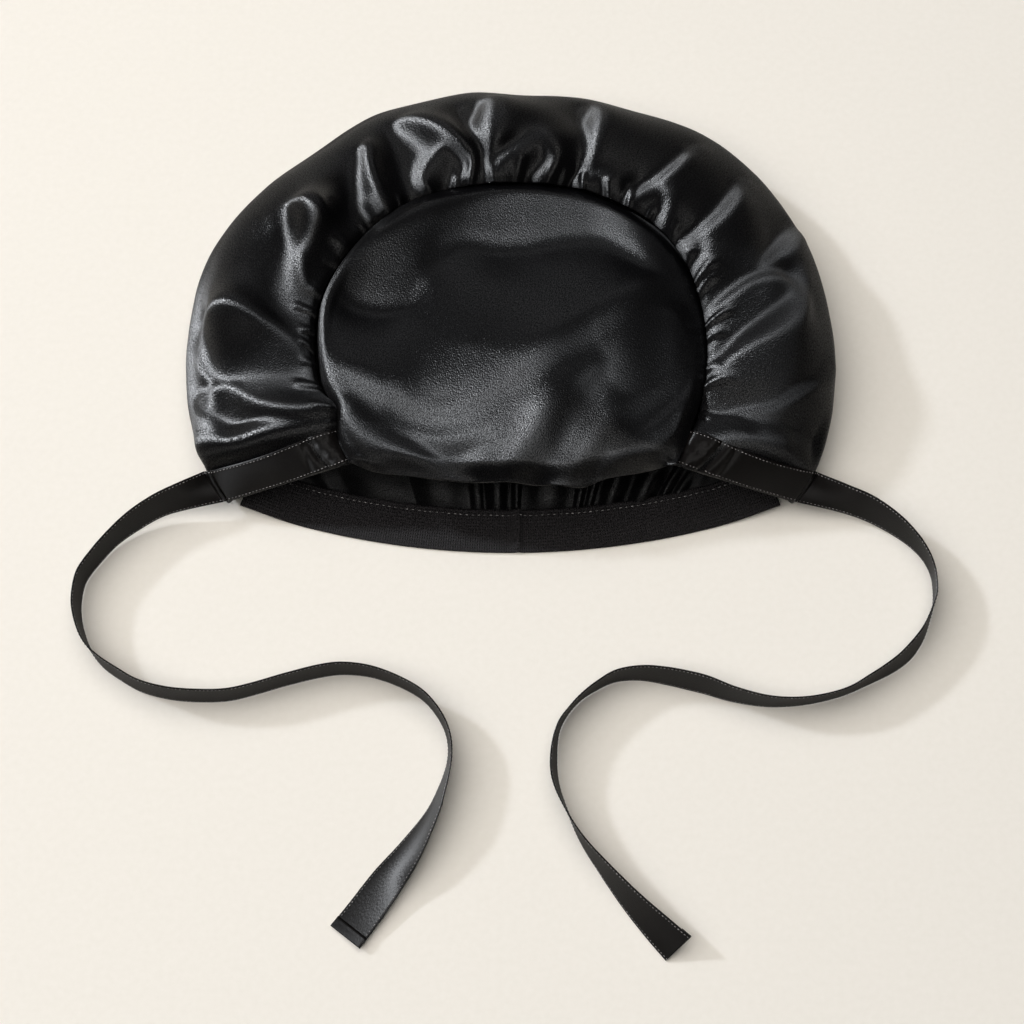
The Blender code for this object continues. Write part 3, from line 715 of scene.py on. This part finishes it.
def fold_rises(grid):
    """Height of all folds over the side panel's grid."""
    front = int(np.searchsorted(SIDE_PLACES, 1.0)) + 1
    heights = softened(settle(grid[:front], FLANKS, FLANK_EDGE, FALL_BASE, STAY_LOW), 6)
    rise = np.zeros(grid.shape[:2])
    rise[:front] = FOLD_LIFT + FOLD_LIMIT * np.tanh(heights / FOLD_LIMIT)
    across = SIDE_PLACES[:, None]
    rise = rise * ease((FOLDS_END - across) / FOLDS_FADE)
    small = np.zeros(rise.size)
    points = grid.reshape(-1, 3)
    way = np.linspace(0.0, 1.0, 8)
    for along, reach, lean, height, half in pucker_lines():
        line = at_place(grid, along + lean * way, reach * way)[::-1]
        add_pucker(small, points, line, height, half)
    rise = rise + small.reshape(rise.shape)
    along = np.linspace(0.0, 1.0, SIDE_COLUMNS)[None, :]
    held = ease((rim_distance(along, across) - 0.7 * RIBBON_WIDTH) / RIBBON_WIDTH)
    turned = ease((TURNED - across) / (TURNED - 1.0))
    seam_way = np.linalg.norm(grid - grid[0], axis=-1)
    tucked = SEAM_TUCK * np.exp(-((seam_way / SEAM_TUCK_REACH) ** 2)) * (across < 0.5)
    return rise * held * turned - tucked


def crumple(points, size, height):
    """Slight unevenness of hanging cloth, in metres, at each point."""
    values = [noise.noise(Vector(point) / size) for point in points]
    return height * np.array(values)


def gather_rise(plan):
    """Standing gathers of the back layer behind the elastic."""
    behind = behind_elastic(plan)
    start = ease((behind + 0.4 * MM) / (5.0 * MM))
    rise = np.zeros(behind.shape)
    for middle, half, height, reach in GATHERS:
        side = np.abs(plan[..., 0] - middle * MM) / (half * MM)
        end = ease((reach * MM - behind) / (0.75 * reach * MM))
        rise = np.maximum(rise, height * MM * start * end * np.exp(-(side**2.6)))
    return rise


def side_surface():
    """Middle surface of the side panel with all its folds."""
    grid = side_grid()
    rise = fold_rises(grid)
    uneven = crumple(grid.reshape(-1, 3), 14 * MM, 0.20 * MM)
    free = ease((TURNED - SIDE_PLACES[:, None]) / 0.2)
    grid = grid + outward(grid) * (rise + uneven.reshape(rise.shape) * free)[..., None]
    back = SIDE_PLACES > TURNED
    grid[back, :, 2] = SATIN / 2 + gather_rise(grid[back, :, :2])
    return grid


def crown_edge(angle):
    """Crown's edge at angles of the round map: the seam, or below its corners the front lip."""
    upper = (angle >= -45.0) & (angle <= 225.0)
    share = np.clip((angle + 45.0) / 270.0, 0.0, 1.0)
    seam = with_height(seam_point(lerp(SEAM_RIGHT, SEAM_LEFT, share)), SEAM_HEIGHT)
    ends = seam_point(np.array([SEAM_LEFT, SEAM_RIGHT]))
    share = (np.cos(np.radians(angle)) / math.cos(math.radians(45.0)) + 1.0) / 2
    reach = read_table(LIP, 1, share) * LIP_REACH
    height = read_table(LIP, 2, share) * SEAM_HEIGHT
    lip = np.stack([lerp(ends[0, 0], ends[1, 0], share), ROUND_Y - reach, height], axis=-1)
    return np.where(upper[..., None], seam, lip)


def crown_surface():
    """Middle surface of the crown: a low dome with drag lines, its edge tucked into the seam."""
    steps = np.linspace(-1.0, 1.0, CROWN_STEPS)
    x, y = np.meshgrid(steps, steps)
    disc_x = x * np.sqrt(1.0 - y * y / 2)
    disc_y = y * np.sqrt(1.0 - x * x / 2)
    reach = np.minimum(np.hypot(disc_x, disc_y), 1.0)
    angle = np.degrees(np.arctan2(disc_y, disc_x))
    angle = np.where(angle < -90.0, angle + 360.0, angle)
    edge = crown_edge(angle)
    middle = np.array([0.0, ROUND_Y, SEAM_HEIGHT])
    grid = lerp(middle, edge, reach[..., None])
    grid[..., 2] = lerp(SEAM_HEIGHT, edge[..., 2], reach**3) + CROWN_RISE * (1.0 - reach**2.6)
    grid[..., 2] -= CROWN_TILT * (grid[..., 1] - ROUND_Y) * (1.0 - reach**4)
    for _ in range(CROWN_ROUNDING):
        grid[1:-1, 1:-1] = (grid[2:, 1:-1] + grid[:-2, 1:-1] + grid[1:-1, 2:] + grid[1:-1, :-2]) / 4
    edge_way = np.linalg.norm(grid - edge, axis=-1)
    # near its edge the crown is held down
    low = CROWN_LOW * (1.0 + 60.0 * np.exp(-((edge_way / (5 * MM)) ** 2)))
    columns = np.swapaxes(grid, 0, 1)
    heights = settle(columns, CROWN_FLANKS, CROWN_EDGE, CROWN_FALL, low.T, CROWN_SHEEN)
    rise = softened(heights.T, 10)
    rise = rise + crumple(grid.reshape(-1, 3), 20 * MM, 0.25 * MM).reshape(rise.shape)
    past_corner = 45.0 - np.minimum(np.abs(angle + 90.0), np.abs(angle - 270.0))
    front = ease(past_corner / 14.0)
    rise = rise * lerp(ease(edge_way / (7 * MM)), 1.0, front)
    grid[..., 2] += rise - front * LIP_ROLL * ease((reach - 0.85) / 0.15)
    grid[..., 2] -= (1.0 - front) * SEAM_TUCK * np.exp(-((edge_way / SEAM_TUCK_REACH) ** 2))
    return grid


def band_surface():
    """Middle surface of the knitted elastic, stepping down from the satin to the surface it lies on."""
    along = np.linspace(-1.0, 1.0, BAND_COLUMNS)
    rows = []
    for across in np.linspace(0.0, 1.0, BAND_ROWS):
        plan = nape_point(along * BAND_HALF_ANGLE, (across - 0.5) * BAND_WIDTH)
        step = ease((across * BAND_WIDTH - TUCK - SATIN) / (1.5 * TUCK))
        height = lerp(SATIN + ELASTIC / 2 + 0.3 * MM, ELASTIC / 2, step)
        height = height + BAND_END_RISE * ease((np.abs(along) - 0.75) / 0.25)
        ripple = BAND_RIPPLE * (1.0 + np.sin(along * 46.0 + 1.3 * np.sin(along * 17.0)))
        rows.append(with_height(plan, height + ripple * ease(1.0 - across * 1.4)))
    grid = np.stack(rows)
    crease = np.exp(-(((grid[..., 0] - BAND_CREASE[0]) / (1.6 * MM)) ** 2))
    lower = ease((BAND_CREASE[1] - grid[..., 1]) / (3 * MM))
    grid[..., 2] += 1.5 * MM * crease * (1.0 - 0.8 * lower)
    return grid


def rim_surface(panel, side):
    """Ribbon sewn over the front rim: rows run from the rim inwards, columns from crown to mouth corner."""
    normal = outward(panel)
    share = np.linspace(0.0, 1.0, RIM_COLUMNS)
    widths = np.linspace(0.0, 1.0, RIM_ROWS) * RIBBON_WIDTH + RIBBON_INSET
    columns = []
    for across in lerp(0.004, 0.985, share):
        inwards = np.linspace(0.0, 0.11, 90)
        along = inwards if side < 0 else 1.0 - inwards
        path = at_place(panel, along, across)
        walked = np.concatenate([[0.0], np.cumsum(np.linalg.norm(np.diff(path, axis=0), axis=1))])
        place = np.interp(widths, walked, along)
        lift = SATIN / 2 + RIBBON_STAND + RIBBON / 2
        columns.append(at_place(panel, place, across) + at_place(normal, place, across) * lift)
    grid = np.stack(columns, axis=1)
    row = np.linspace(0.0, 1.0, RIM_ROWS)[:, None]
    fold = np.zeros(grid.shape[:2])
    for place, lean, height, width in RIM_FOLDS[side]:
        fold += height * MM * np.exp(-(((share[None, :] - place - lean * row) / width) ** 2))
    at_crown = ease((0.22 - share) / 0.16) * 0.5
    at_corner = ease((share - 0.86) / 0.10) * 0.4
    points = grid.reshape(-1, 3)
    uneven = crumple(points, 4.2 * MM, 1.5 * MM) + crumple(points, 1.9 * MM, 0.4 * MM)
    rise = np.abs(uneven.reshape(grid.shape[:2])) * (at_crown + at_corner) + fold
    rise = rise * ease((1.0 - share) / 0.04)
    return grid - side * outward(grid) * rise[..., None]


def tie_surface(rim, route):
    """Free ribbon from the mouth corner, standing on its lower edge and laid flat towards its end."""
    low = rim[0, -1]
    high = rim[-1, -1]
    away = low - rim[0, -6]
    away = away / np.linalg.norm(away) * (RIBBON / 2 + 0.3 * MM)
    lows = [low + away]
    highs = [high + away]
    edge = np.array([(low[0] + x, low[1] + y, lift) for x, y, lift, lean in route])
    for k, (x, y, lift, lean) in enumerate(route):
        behind = edge[k - 1] if k else low
        run = (edge[min(k + 1, len(edge) - 1)] - behind)[:2]
        run = run / np.linalg.norm(run)
        turn = math.radians(lean)
        rise = np.array([run[1] * math.sin(turn), -run[0] * math.sin(turn), math.cos(turn)])
        lows.append(edge[k])
        highs.append(edge[k] + rise * RIBBON_WIDTH)
    low_line = smooth_through(lows, TIE_COLUMNS)
    high_line = smooth_through(highs, TIE_COLUMNS)
    across = np.linspace(0.0, 1.0, TIE_ROWS)[:, None, None]
    return lerp(low_line[None], high_line[None], across)


def cloth_piece(name, grid, thickness, finish, threads=0.0):
    """Closed cloth piece from a grid of points, its threads turned by degrees from the grid's rows."""
    rows, columns = grid.shape[:2]
    normal = outward(grid)
    outer = grid + normal * thickness / 2
    inner = grid - normal * thickness / 2
    count = rows * columns
    index = np.arange(count).reshape(rows, columns)
    quads = np.stack([index[:-1, :-1], index[:-1, 1:], index[1:, 1:], index[1:, :-1]], axis=-1).reshape(-1, 4)
    rim = np.concatenate([index[0, :], index[1:, -1], index[-1, -2::-1], index[-2:0:-1, 0]])
    ahead = np.roll(rim, -1)
    sides = np.stack([rim, rim + count, ahead + count, ahead], axis=-1)
    faces = np.concatenate([quads, quads[:, ::-1] + count, sides])
    points = np.concatenate([outer.reshape(-1, 3), inner.reshape(-1, 3)])
    mesh = bpy.data.meshes.new(name)
    mesh.from_pydata(points.tolist(), [], faces.tolist())
    run = np.linalg.norm(np.diff(grid, axis=1), axis=-1).mean(axis=0)
    fall = np.linalg.norm(np.diff(grid, axis=0), axis=-1).mean(axis=1)
    x = np.concatenate([[0.0], np.cumsum(run)])
    y = np.concatenate([[0.0], np.cumsum(fall)])
    turn = math.radians(threads)
    x, y = np.meshgrid(x, y)
    forward = x * math.cos(turn) + y * math.sin(turn)
    sideways = y * math.cos(turn) - x * math.sin(turn)
    place = np.stack([forward, sideways], axis=-1).reshape(-1, 2)
    place = np.concatenate([place, place])
    weave = mesh.uv_layers.new(name="cloth")
    weave.data.foreach_set("uv", place[faces.ravel()].ravel())
    mesh.polygons.foreach_set("use_smooth", np.ones(len(faces), dtype=bool))
    mesh.update()
    return dress(name, mesh, finish)


def dress(name, mesh, finish):
    """Object for a mesh, with its material, riding on the bonnet."""
    piece = bpy.data.objects.new(name, mesh)
    bpy.context.scene.collection.objects.link(piece)
    mesh.materials.append(finish)
    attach(piece, "root")
    return piece


def evenly(line, pitch):
    """Points at an even pitch along a line, and the line's direction there."""
    steps = np.linalg.norm(np.diff(line, axis=0), axis=1)
    walked = np.concatenate([[0.0], np.cumsum(steps)])
    places = np.arange(pitch / 2, walked[-1], pitch)
    points = np.stack([np.interp(places, walked, line[:, k]) for k in range(3)], axis=-1)
    heading = np.gradient(points, axis=0)
    return points, heading / np.linalg.norm(heading, axis=1, keepdims=True)


def stitch_row(points, headings, ups, size):
    """Small rounded stitches: their corners and faces. size is length, width and height."""
    ring = []
    for height, reach in ((-1.0, 0.0), (-0.6, 0.8), (0.0, 1.0), (0.6, 0.8), (1.0, 0.0)):
        for k in range(STITCH_SIDES):
            turn = 2 * math.pi * k / STITCH_SIDES
            ring.append((height, reach * math.cos(turn), reach * math.sin(turn)))
    ring = np.array(ring) * np.array(size) / 2
    sideways = np.cross(headings, ups)
    sideways = sideways / np.linalg.norm(sideways, axis=1, keepdims=True)
    over = np.cross(sideways, headings)
    corners = points[:, None] + ring[None, :, 0:1] * headings[:, None]
    corners = corners + ring[None, :, 1:2] * sideways[:, None] + ring[None, :, 2:3] * over[:, None]
    one = []
    for row in range(4):
        for k in range(STITCH_SIDES):
            ahead = (k + 1) % STITCH_SIDES
            a = row * STITCH_SIDES
            b = a + STITCH_SIDES
            one.append((a + k, a + ahead, b + ahead, b + k))
    shift = np.arange(len(points))[:, None, None] * len(ring)
    return corners.reshape(-1, 3), (np.array(one)[None] + shift).reshape(-1, 4)


def sew(name, rows, finish):
    """One piece with all the stitches of several rows."""
    corners = []
    faces = []
    count = 0
    for points, headings, ups, size in rows:
        spots, sides = stitch_row(points, headings, ups, size)
        corners.append(spots)
        faces.append(sides + count)
        count += len(spots)
    mesh = bpy.data.meshes.new(name)
    mesh.from_pydata(np.concatenate(corners).tolist(), [], np.concatenate(faces).tolist())
    mesh.validate()
    mesh.polygons.foreach_set("use_smooth", np.ones(len(mesh.polygons), dtype=bool))
    return dress(name, mesh, finish)


def grid_line(grid, share):
    """Line along a grid of points at a share of its width, and the outward directions on it."""
    row = share * (len(grid) - 1)
    k = min(int(row), len(grid) - 2)
    normal = outward(grid)
    return lerp(grid[k], grid[k + 1], row - k), lerp(normal[k], normal[k + 1], row - k)


def edge_stitches(grid, share, lift, size, pitch):
    """Row of stitches along a cloth grid at a share of its width."""
    line, normal = grid_line(grid, share)
    points, headings = evenly(line, pitch)
    steps = np.linalg.norm(np.diff(line, axis=0), axis=1)
    walked = np.concatenate([[0.0], np.cumsum(steps)])
    places = np.arange(pitch / 2, walked[-1], pitch)
    ups = np.stack([np.interp(places, walked, normal[:, k]) for k in range(3)], axis=-1)
    return points + ups * lift, headings, ups, size


def loose_threads(name, spots, heading, count, reach, finish, seed):
    """Frayed threads: thin curved hairs that start between two points and run about one way."""
    chance = np.random.default_rng(seed)
    corners = []
    faces = []
    first, last = (np.array(spot) for spot in spots)
    for k in range(count):
        start = lerp(first, last, chance.uniform(0.0, 1.0))
        way = unit(np.array(heading) + chance.normal(0.0, 0.35, 3))
        bend = unit(chance.normal(0.0, 1.0, 3)) * chance.uniform(0.1, 0.5)
        length = reach * chance.uniform(0.4, 1.0)
        for j in range(HAIR_STEPS):
            t = j / (HAIR_STEPS - 1)
            middle = start + length * (t * way + t * t * bend)
            middle[2] = max(middle[2], 0.2 * MM)
            thick = HAIR * (1.0 - 0.5 * t)
            for i in range(HAIR_SIDES):
                turn = math.tau * i / HAIR_SIDES
                ring = np.array([math.cos(turn), 0.4 * math.cos(turn), math.sin(turn)])
                corners.append(middle + thick * ring)
        for j in range(HAIR_STEPS - 1):
            base = (k * HAIR_STEPS + j) * HAIR_SIDES
            for i in range(HAIR_SIDES):
                low = base + i
                ahead = base + (i + 1) % HAIR_SIDES
                faces.append((low, ahead, ahead + HAIR_SIDES, low + HAIR_SIDES))
    mesh = bpy.data.meshes.new(name)
    mesh.from_pydata([tuple(corner) for corner in corners], [], faces)
    mesh.polygons.foreach_set("use_smooth", np.ones(len(faces), dtype=bool))
    return dress(name, mesh, finish)


def hem_of(tie, tip):
    """Folded hem: the ribbon's last stretch doubled on its upper face, which tip gives as 1 or -1."""
    end = tie[:, -HEM_COLUMNS:]
    return end + outward(tie)[:, -HEM_COLUMNS:] * tip * (RIBBON + HEM_GAP)


def to_linear(colour):
    """Linear colour of an sRGB hex value."""
    parts = [int(colour[k : k + 2], 16) / 255 for k in (1, 3, 5)]
    linear = [part / 12.92 if part <= 0.04045 else ((part + 0.055) / 1.055) ** 2.4 for part in parts]
    return (*linear, 1.0)


def feed(tree, node, feeds):
    """Give a node's sockets their values, or link them to the sockets that they come from."""
    for name, value in feeds.items():
        socket = node.inputs[name]
        if isinstance(value, bpy.types.NodeSocket):
            tree.links.new(value, socket)
        else:
            socket.default_value = value


def put(tree, kind, feeds=None, **settings):
    """Add a node with its settings and what its sockets are given."""
    node = tree.nodes.new(kind)
    for name, value in settings.items():
        setattr(node, name, value)
    feed(tree, node, feeds or {})
    return node


def shade_between(ramp, dark, light, start=0.0, end=1.0):
    """Set the colours of a ramp's two ends and the values they stand at; returns the ramp's colour."""
    for element, colour, place in zip(ramp.color_ramp.elements, (dark, light), (start, end)):
        element.position = place
        element.color = to_linear(colour)
    return ramp.outputs["Color"]


def new_finish(name):
    """New material, its nodes and its Principled shader."""
    material = bpy.data.materials.new(name)
    material.use_nodes = True
    tree = material.node_tree
    return material, tree, tree.nodes["Principled BSDF"]


def polyester_satin():
    """Polyester satin, woven with long floats and dyed black: its sheen lies in lines across the floats."""
    material, tree, shader = new_finish("polyester_satin_black")
    place = put(tree, "ShaderNodeUVMap", uv_map="cloth").outputs["UV"]
    # floats are about 0.2 mm wide and 1 mm long, drawn 0.5 mm wide so that they show as a fine grain
    laid = put(tree, "ShaderNodeMapping", {"Vector": place, "Scale": (0.6, 1.0, 1.0)}).outputs["Vector"]
    floats = put(tree, "ShaderNodeTexNoise", {"Vector": laid, "Scale": 1.0 / (0.48 * MM), "Detail": 1.0})
    floats = floats.outputs["Fac"]
    relief = put(tree, "ShaderNodeBump", {"Height": floats, "Strength": 1.0, "Distance": 0.16 * MM})
    # where this grain is low the satin is smooth and bright, where it is raised rougher and duller
    gloss = put(
        tree,
        "ShaderNodeMapRange",
        {"Value": floats, "From Min": 0.3, "From Max": 0.7, "To Min": 0.33, "To Max": 0.46},
    )
    glints = put(
        tree,
        "ShaderNodeMapRange",
        {"Value": floats, "From Min": 0.36, "From Max": 0.66, "To Min": 0.80, "To Max": 0.20},
    )
    ramp = put(tree, "ShaderNodeValToRGB", {"Fac": floats})
    shade = shade_between(ramp, "#040405", "#0A0A0C")
    tangent = put(tree, "ShaderNodeTangent", direction_type="UV_MAP", uv_map="cloth")
    values = {
        "Base Color": shade,
        "Roughness": gloss.outputs["Result"],
        "Specular IOR Level": glints.outputs["Result"],
        "IOR": 1.5,
        "Anisotropic": 0.95,
        "Anisotropic Rotation": 0.25,
        "Tangent": tangent.outputs["Tangent"],
        "Normal": relief.outputs["Normal"],
    }
    feed(tree, shader, values)
    return material


def knitted_elastic():
    """Elastic knitted from covered rubber and texturised polyester: matte, finely ribbed and flecked."""
    material, tree, shader = new_finish("knitted_elastic_black")
    place = put(tree, "ShaderNodeUVMap", uv_map="cloth").outputs["UV"]
    # knitted columns 1.1 mm apart and rubber rows 1.5 mm apart give fine ribs both ways
    columns = put(tree, "ShaderNodeTexWave", {"Vector": place, "Scale": WAVE / (1.1 * MM), "Distortion": 0.4})
    rows = put(
        tree,
        "ShaderNodeTexWave",
        {"Vector": place, "Scale": WAVE / (1.5 * MM), "Distortion": 0.3},
        bands_direction="Y",
    )
    loops = put(
        tree,
        "ShaderNodeMath",
        {0: columns.outputs["Fac"], 1: rows.outputs["Fac"]},
        operation="MULTIPLY",
    )
    fluff = put(tree, "ShaderNodeTexNoise", {"Vector": place, "Scale": 1.0 / (0.7 * MM), "Detail": 2.0})
    fluff = fluff.outputs["Fac"]
    knit = put(tree, "ShaderNodeMath", {0: loops.outputs["Value"], 1: fluff}, operation="ADD")
    relief = put(
        tree,
        "ShaderNodeBump",
        {"Height": knit.outputs["Value"], "Strength": 1.0, "Distance": 0.45 * MM},
    )
    # lint on the knit shows as dark grey flecks
    ramp = put(tree, "ShaderNodeValToRGB", {"Fac": fluff})
    shade = shade_between(ramp, "#090909", "#2B292C", 0.36, 0.66)
    values = {
        "Base Color": shade,
        "Roughness": 0.82,
        "Specular IOR Level": 0.35,
        "IOR": 1.5,
        "Normal": relief.outputs["Normal"],
    }
    feed(tree, shader, values)
    return material


def satin_ribbon():
    """Single-faced polyester satin ribbon, tightly woven: nearly black, with a silky gleam where it bends."""
    material, tree, shader = new_finish("satin_ribbon_black")
    place = put(tree, "ShaderNodeUVMap", uv_map="cloth").outputs["UV"]
    # warp threads run along the ribbon, drawn 0.5 mm apart where real ones are finer
    threads = put(tree, "ShaderNodeMapping", {"Vector": place, "Scale": (0.35, 1.0, 1.0)}).outputs["Vector"]
    grain = put(tree, "ShaderNodeTexNoise", {"Vector": threads, "Scale": 1.0 / (0.5 * MM), "Detail": 1.0})
    grain = grain.outputs["Fac"]
    relief = put(tree, "ShaderNodeBump", {"Height": grain, "Strength": 0.5, "Distance": 0.16 * MM})
    ramp = put(tree, "ShaderNodeValToRGB", {"Fac": grain})
    shade = shade_between(ramp, "#080707", "#131111")
    tangent = put(tree, "ShaderNodeTangent", direction_type="UV_MAP", uv_map="cloth")
    values = {
        "Base Color": shade,
        "Roughness": 0.44,
        "Specular IOR Level": 0.30,
        "IOR": 1.5,
        "Anisotropic": 0.9,
        "Anisotropic Rotation": 0.25,
        "Tangent": tangent.outputs["Tangent"],
        "Normal": relief.outputs["Normal"],
    }
    feed(tree, shader, values)
    return material


def sewing_thread():
    """Spun polyester sewing thread, black, with painted highlights: a noise colours some stitches light grey,
    so each shows as a small soft glint on the black.
    """
    material, tree, shader = new_finish("sewing_thread_black")
    place = put(tree, "ShaderNodeTexCoord").outputs["Object"]
    # painted highlights and shade: the noise colours some stitches light grey, as if turned to the light, and
    # others dark grey, as if turned away from it
    painted_glints = put(tree, "ShaderNodeTexNoise", {"Vector": place, "Scale": 1.0 / (1.4 * MM), "Detail": 1.0})
    ramp = put(tree, "ShaderNodeValToRGB", {"Fac": painted_glints.outputs["Fac"]})
    shade = shade_between(ramp, "#363536", "#A5A2A4", 0.35, 0.70)
    values = {
        "Base Color": shade,
        "Roughness": 0.42,
        "Specular IOR Level": 0.7,
        "IOR": 1.54,
    }
    feed(tree, shader, values)
    return material


def matte_floor():
    """Matte emulsion paint, rolled on board: an even warm white with a faint mottle."""
    material, tree, shader = new_finish("matte_paint_warm_white")
    place = put(tree, "ShaderNodeTexCoord").outputs["Object"]
    roller = put(tree, "ShaderNodeTexNoise", {"Vector": place, "Scale": 1.0 / (3.0 * MM), "Detail": 2.0})
    ramp = put(tree, "ShaderNodeValToRGB", {"Fac": roller.outputs["Fac"]})
    shade = shade_between(ramp, "#EBE8E2", "#F1EEE9")
    values = {"Base Color": shade, "Roughness": 0.9, "Specular IOR Level": 0.2}
    feed(tree, shader, values)
    return material


def place_camera():
    """Camera at the photo's angle, 20 degrees off the vertical and a metre away."""
    lens = bpy.data.cameras.new("camera")
    lens.lens = 75.59
    lens.sensor_width = 36.0
    lens.clip_start = 0.01
    camera = bpy.data.objects.new("camera", lens)
    camera.location = (0.0008, -0.4398, 0.9397)
    camera.rotation_euler = (math.radians(20.0), 0.0, 0.0)
    bpy.context.scene.collection.objects.link(camera)
    bpy.context.scene.camera = camera


def place_lamp(name, kind, direction, distance, **values):
    """Lamp on the side that a direction points to, shining at the bonnet."""
    lamp = bpy.data.lights.new(name, kind)
    for key, value in values.items():
        setattr(lamp, key, value)
    thing = bpy.data.objects.new(name, lamp)
    away = Vector(direction).normalized()
    thing.location = Vector((0.0, -0.05, 0.0)) + away * distance
    thing.rotation_euler = away.to_track_quat("Z", "Y").to_euler()
    bpy.context.scene.collection.objects.link(thing)
    return thing


def light_the_table():
    """Low key from the left, an even overhead fill, and four lamps that only add sheen."""
    low_left = (-0.77, 0.385, 0.51)
    soft_edge = math.radians(5.0)
    place_lamp("key", "SUN", low_left, 1.7, energy=1.05, angle=soft_edge, color=(0.88, 0.93, 1.0))
    glint = place_lamp("glint", "SUN", low_left, 1.7, energy=3.0, angle=soft_edge, color=(0.95, 0.97, 1.0))
    above = (-0.35, 0.1, 1.0)
    fill = place_lamp("fill", "AREA", above, 1.9, energy=57.0, size=2.8, color=(1.0, 0.957, 0.893))
    fill.visible_glossy = False
    behind = (-0.2, 0.8, 0.6)
    steep = (-0.1, 0.36, 0.93)
    before = (0.05, -0.45, 0.9)
    gloss = (
        place_lamp("sheen", "AREA", behind, 1.8, energy=1.6, size=0.7, color=(0.97, 0.98, 1.0)),
        place_lamp("overhead", "AREA", steep, 1.8, energy=0.25, size=1.1, color=(1.0, 0.99, 0.97)),
        place_lamp("front", "AREA", before, 1.5, energy=3.0, size=0.6, color=(1.0, 0.98, 0.95)),
    )
    for lamp in (glint,) + gloss:
        lamp.visible_diffuse = False
    world = bpy.data.worlds.new("studio")
    world.use_nodes = True
    surround = world.node_tree.nodes["Background"]
    feed(world.node_tree, surround, {"Color": to_linear("#F4F1EC"), "Strength": 0.018})
    bpy.context.scene.world = world


def lay_floor(finish):
    """Plain pale floor under the bonnet."""
    mesh = bpy.data.meshes.new("floor")
    reach = 6.0
    corners = [(-reach, -reach, 0.0), (reach, -reach, 0.0), (reach, reach, 0.0), (-reach, reach, 0.0)]
    mesh.from_pydata(corners, [], [(0, 1, 2, 3)])
    mesh.materials.append(finish)
    floor = bpy.data.objects.new("floor", mesh)
    bpy.context.scene.collection.objects.link(floor)


def upper_face(grid):
    """Which face of a cloth is up at its middle, as a sign."""
    rows, columns = grid.shape[:2]
    return 1.0 if outward(grid)[rows // 2, columns // 2, 2] > 0 else -1.0


def ribbon_edges(ribbon, lifts):
    """Rows of stitches along both edges of a ribbon, at each of some distances off its middle."""
    return [
        edge_stitches(ribbon, share, lift, RIBBON_THREAD, EDGE_PITCH)
        for share in EDGE_ROWS
        for lift in lifts
    ]


def sew_tie(hand, tie, finish, thread_finish):
    """Free ribbon tie with stitched edges on both faces."""
    ribbon = cloth_piece("tie_ribbon_" + hand, tie, RIBBON, finish)
    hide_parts("tie_" + hand)
    face = RIBBON / 2 + STITCH_RISE
    thread = sew("tie_stitches_" + hand, ribbon_edges(tie, (-face, face)), thread_finish)
    centres = (tie[0] + tie[-1]) / 2
    tuple(float(value) for value in centres[0])
    [tuple(float(value) for value in point) for point in centres[::6]]


def sew_rim(hand, rim, finish, thread_finish):
    """Ribbon sewn over the front rim, with stitches on its outer face."""
    sewn = cloth_piece("rim_ribbon_cloth_" + hand, rim, RIBBON, finish)
    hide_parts("rim_ribbon_" + hand)
    lift = upper_face(rim) * (RIBBON / 2 + STITCH_RISE)
    sew("rim_stitches_" + hand, ribbon_edges(rim, (lift,)), thread_finish)


def sew_hem(hand, tie, tip, finish, thread_finish):
    """Folded hem at the end of a tie, with its row of stitches; tip says which face is up there."""
    hem = hem_of(tie, tip)
    cloth_piece("tie_hem_" + hand, hem, RIBBON, finish)
    across = np.swapaxes(hem, 0, 1)
    row = edge_stitches(across, 0.25, tip * (RIBBON / 2 + STITCH_RISE), RIBBON_THREAD, 1.6 * MM)
    sew("hem_stitches_" + hand, [row], thread_finish)


bpy.context.scene.view_settings.view_transform = "Standard"
place_camera()

SATIN_FINISH = polyester_satin()
ELASTIC_FINISH = knitted_elastic()
RIBBON_FINISH = satin_ribbon()
THREAD_FINISH = sewing_thread()

PANEL = side_surface()
TIES = {}
for side, hand, route in ((-1, "left", LEFT_ROUTE), (1, "right", RIGHT_ROUTE)):
    rim = rim_surface(PANEL, side)
    TIES[hand] = tie_surface(rim, route)
    sew_tie(hand, TIES[hand], RIBBON_FINISH, THREAD_FINISH)
    sew_rim(hand, rim, RIBBON_FINISH, THREAD_FINISH)
for hand, tip in (("left", 1.0), ("right", -1.0)):
    sew_hem(hand, TIES[hand], tip, RIBBON_FINISH, THREAD_FINISH)

side_cloth = cloth_piece("side_panel_cloth", PANEL, SATIN, SATIN_FINISH)
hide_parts("side_panel")

CROWN = crown_surface()
crown_cloth = cloth_piece("crown_cloth", CROWN, SATIN, SATIN_FINISH, threads=CROWN_THREADS)
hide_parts("crown_panel")

BAND = band_surface()
band_cloth = cloth_piece("nape_elastic", BAND, ELASTIC, ELASTIC_FINISH)
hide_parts("elastic_band")

cut = (TIES["left"][-1, -1], TIES["left"][-1, -8])
outwards = (-0.6, -0.1, 0.3)
loose_threads("tie_fray_left", cut, outwards, 12, 3.5 * MM, THREAD_FINISH, FRAY_SEED)

lift = upper_face(BAND) * (ELASTIC / 2 + 0.02 * MM)
row = edge_stitches(BAND, 0.14, lift, ELASTIC_THREAD, 2.8 * MM)
sew("elastic_stitches", [row], THREAD_FINISH)

light_the_table()
lay_floor(matte_floor())
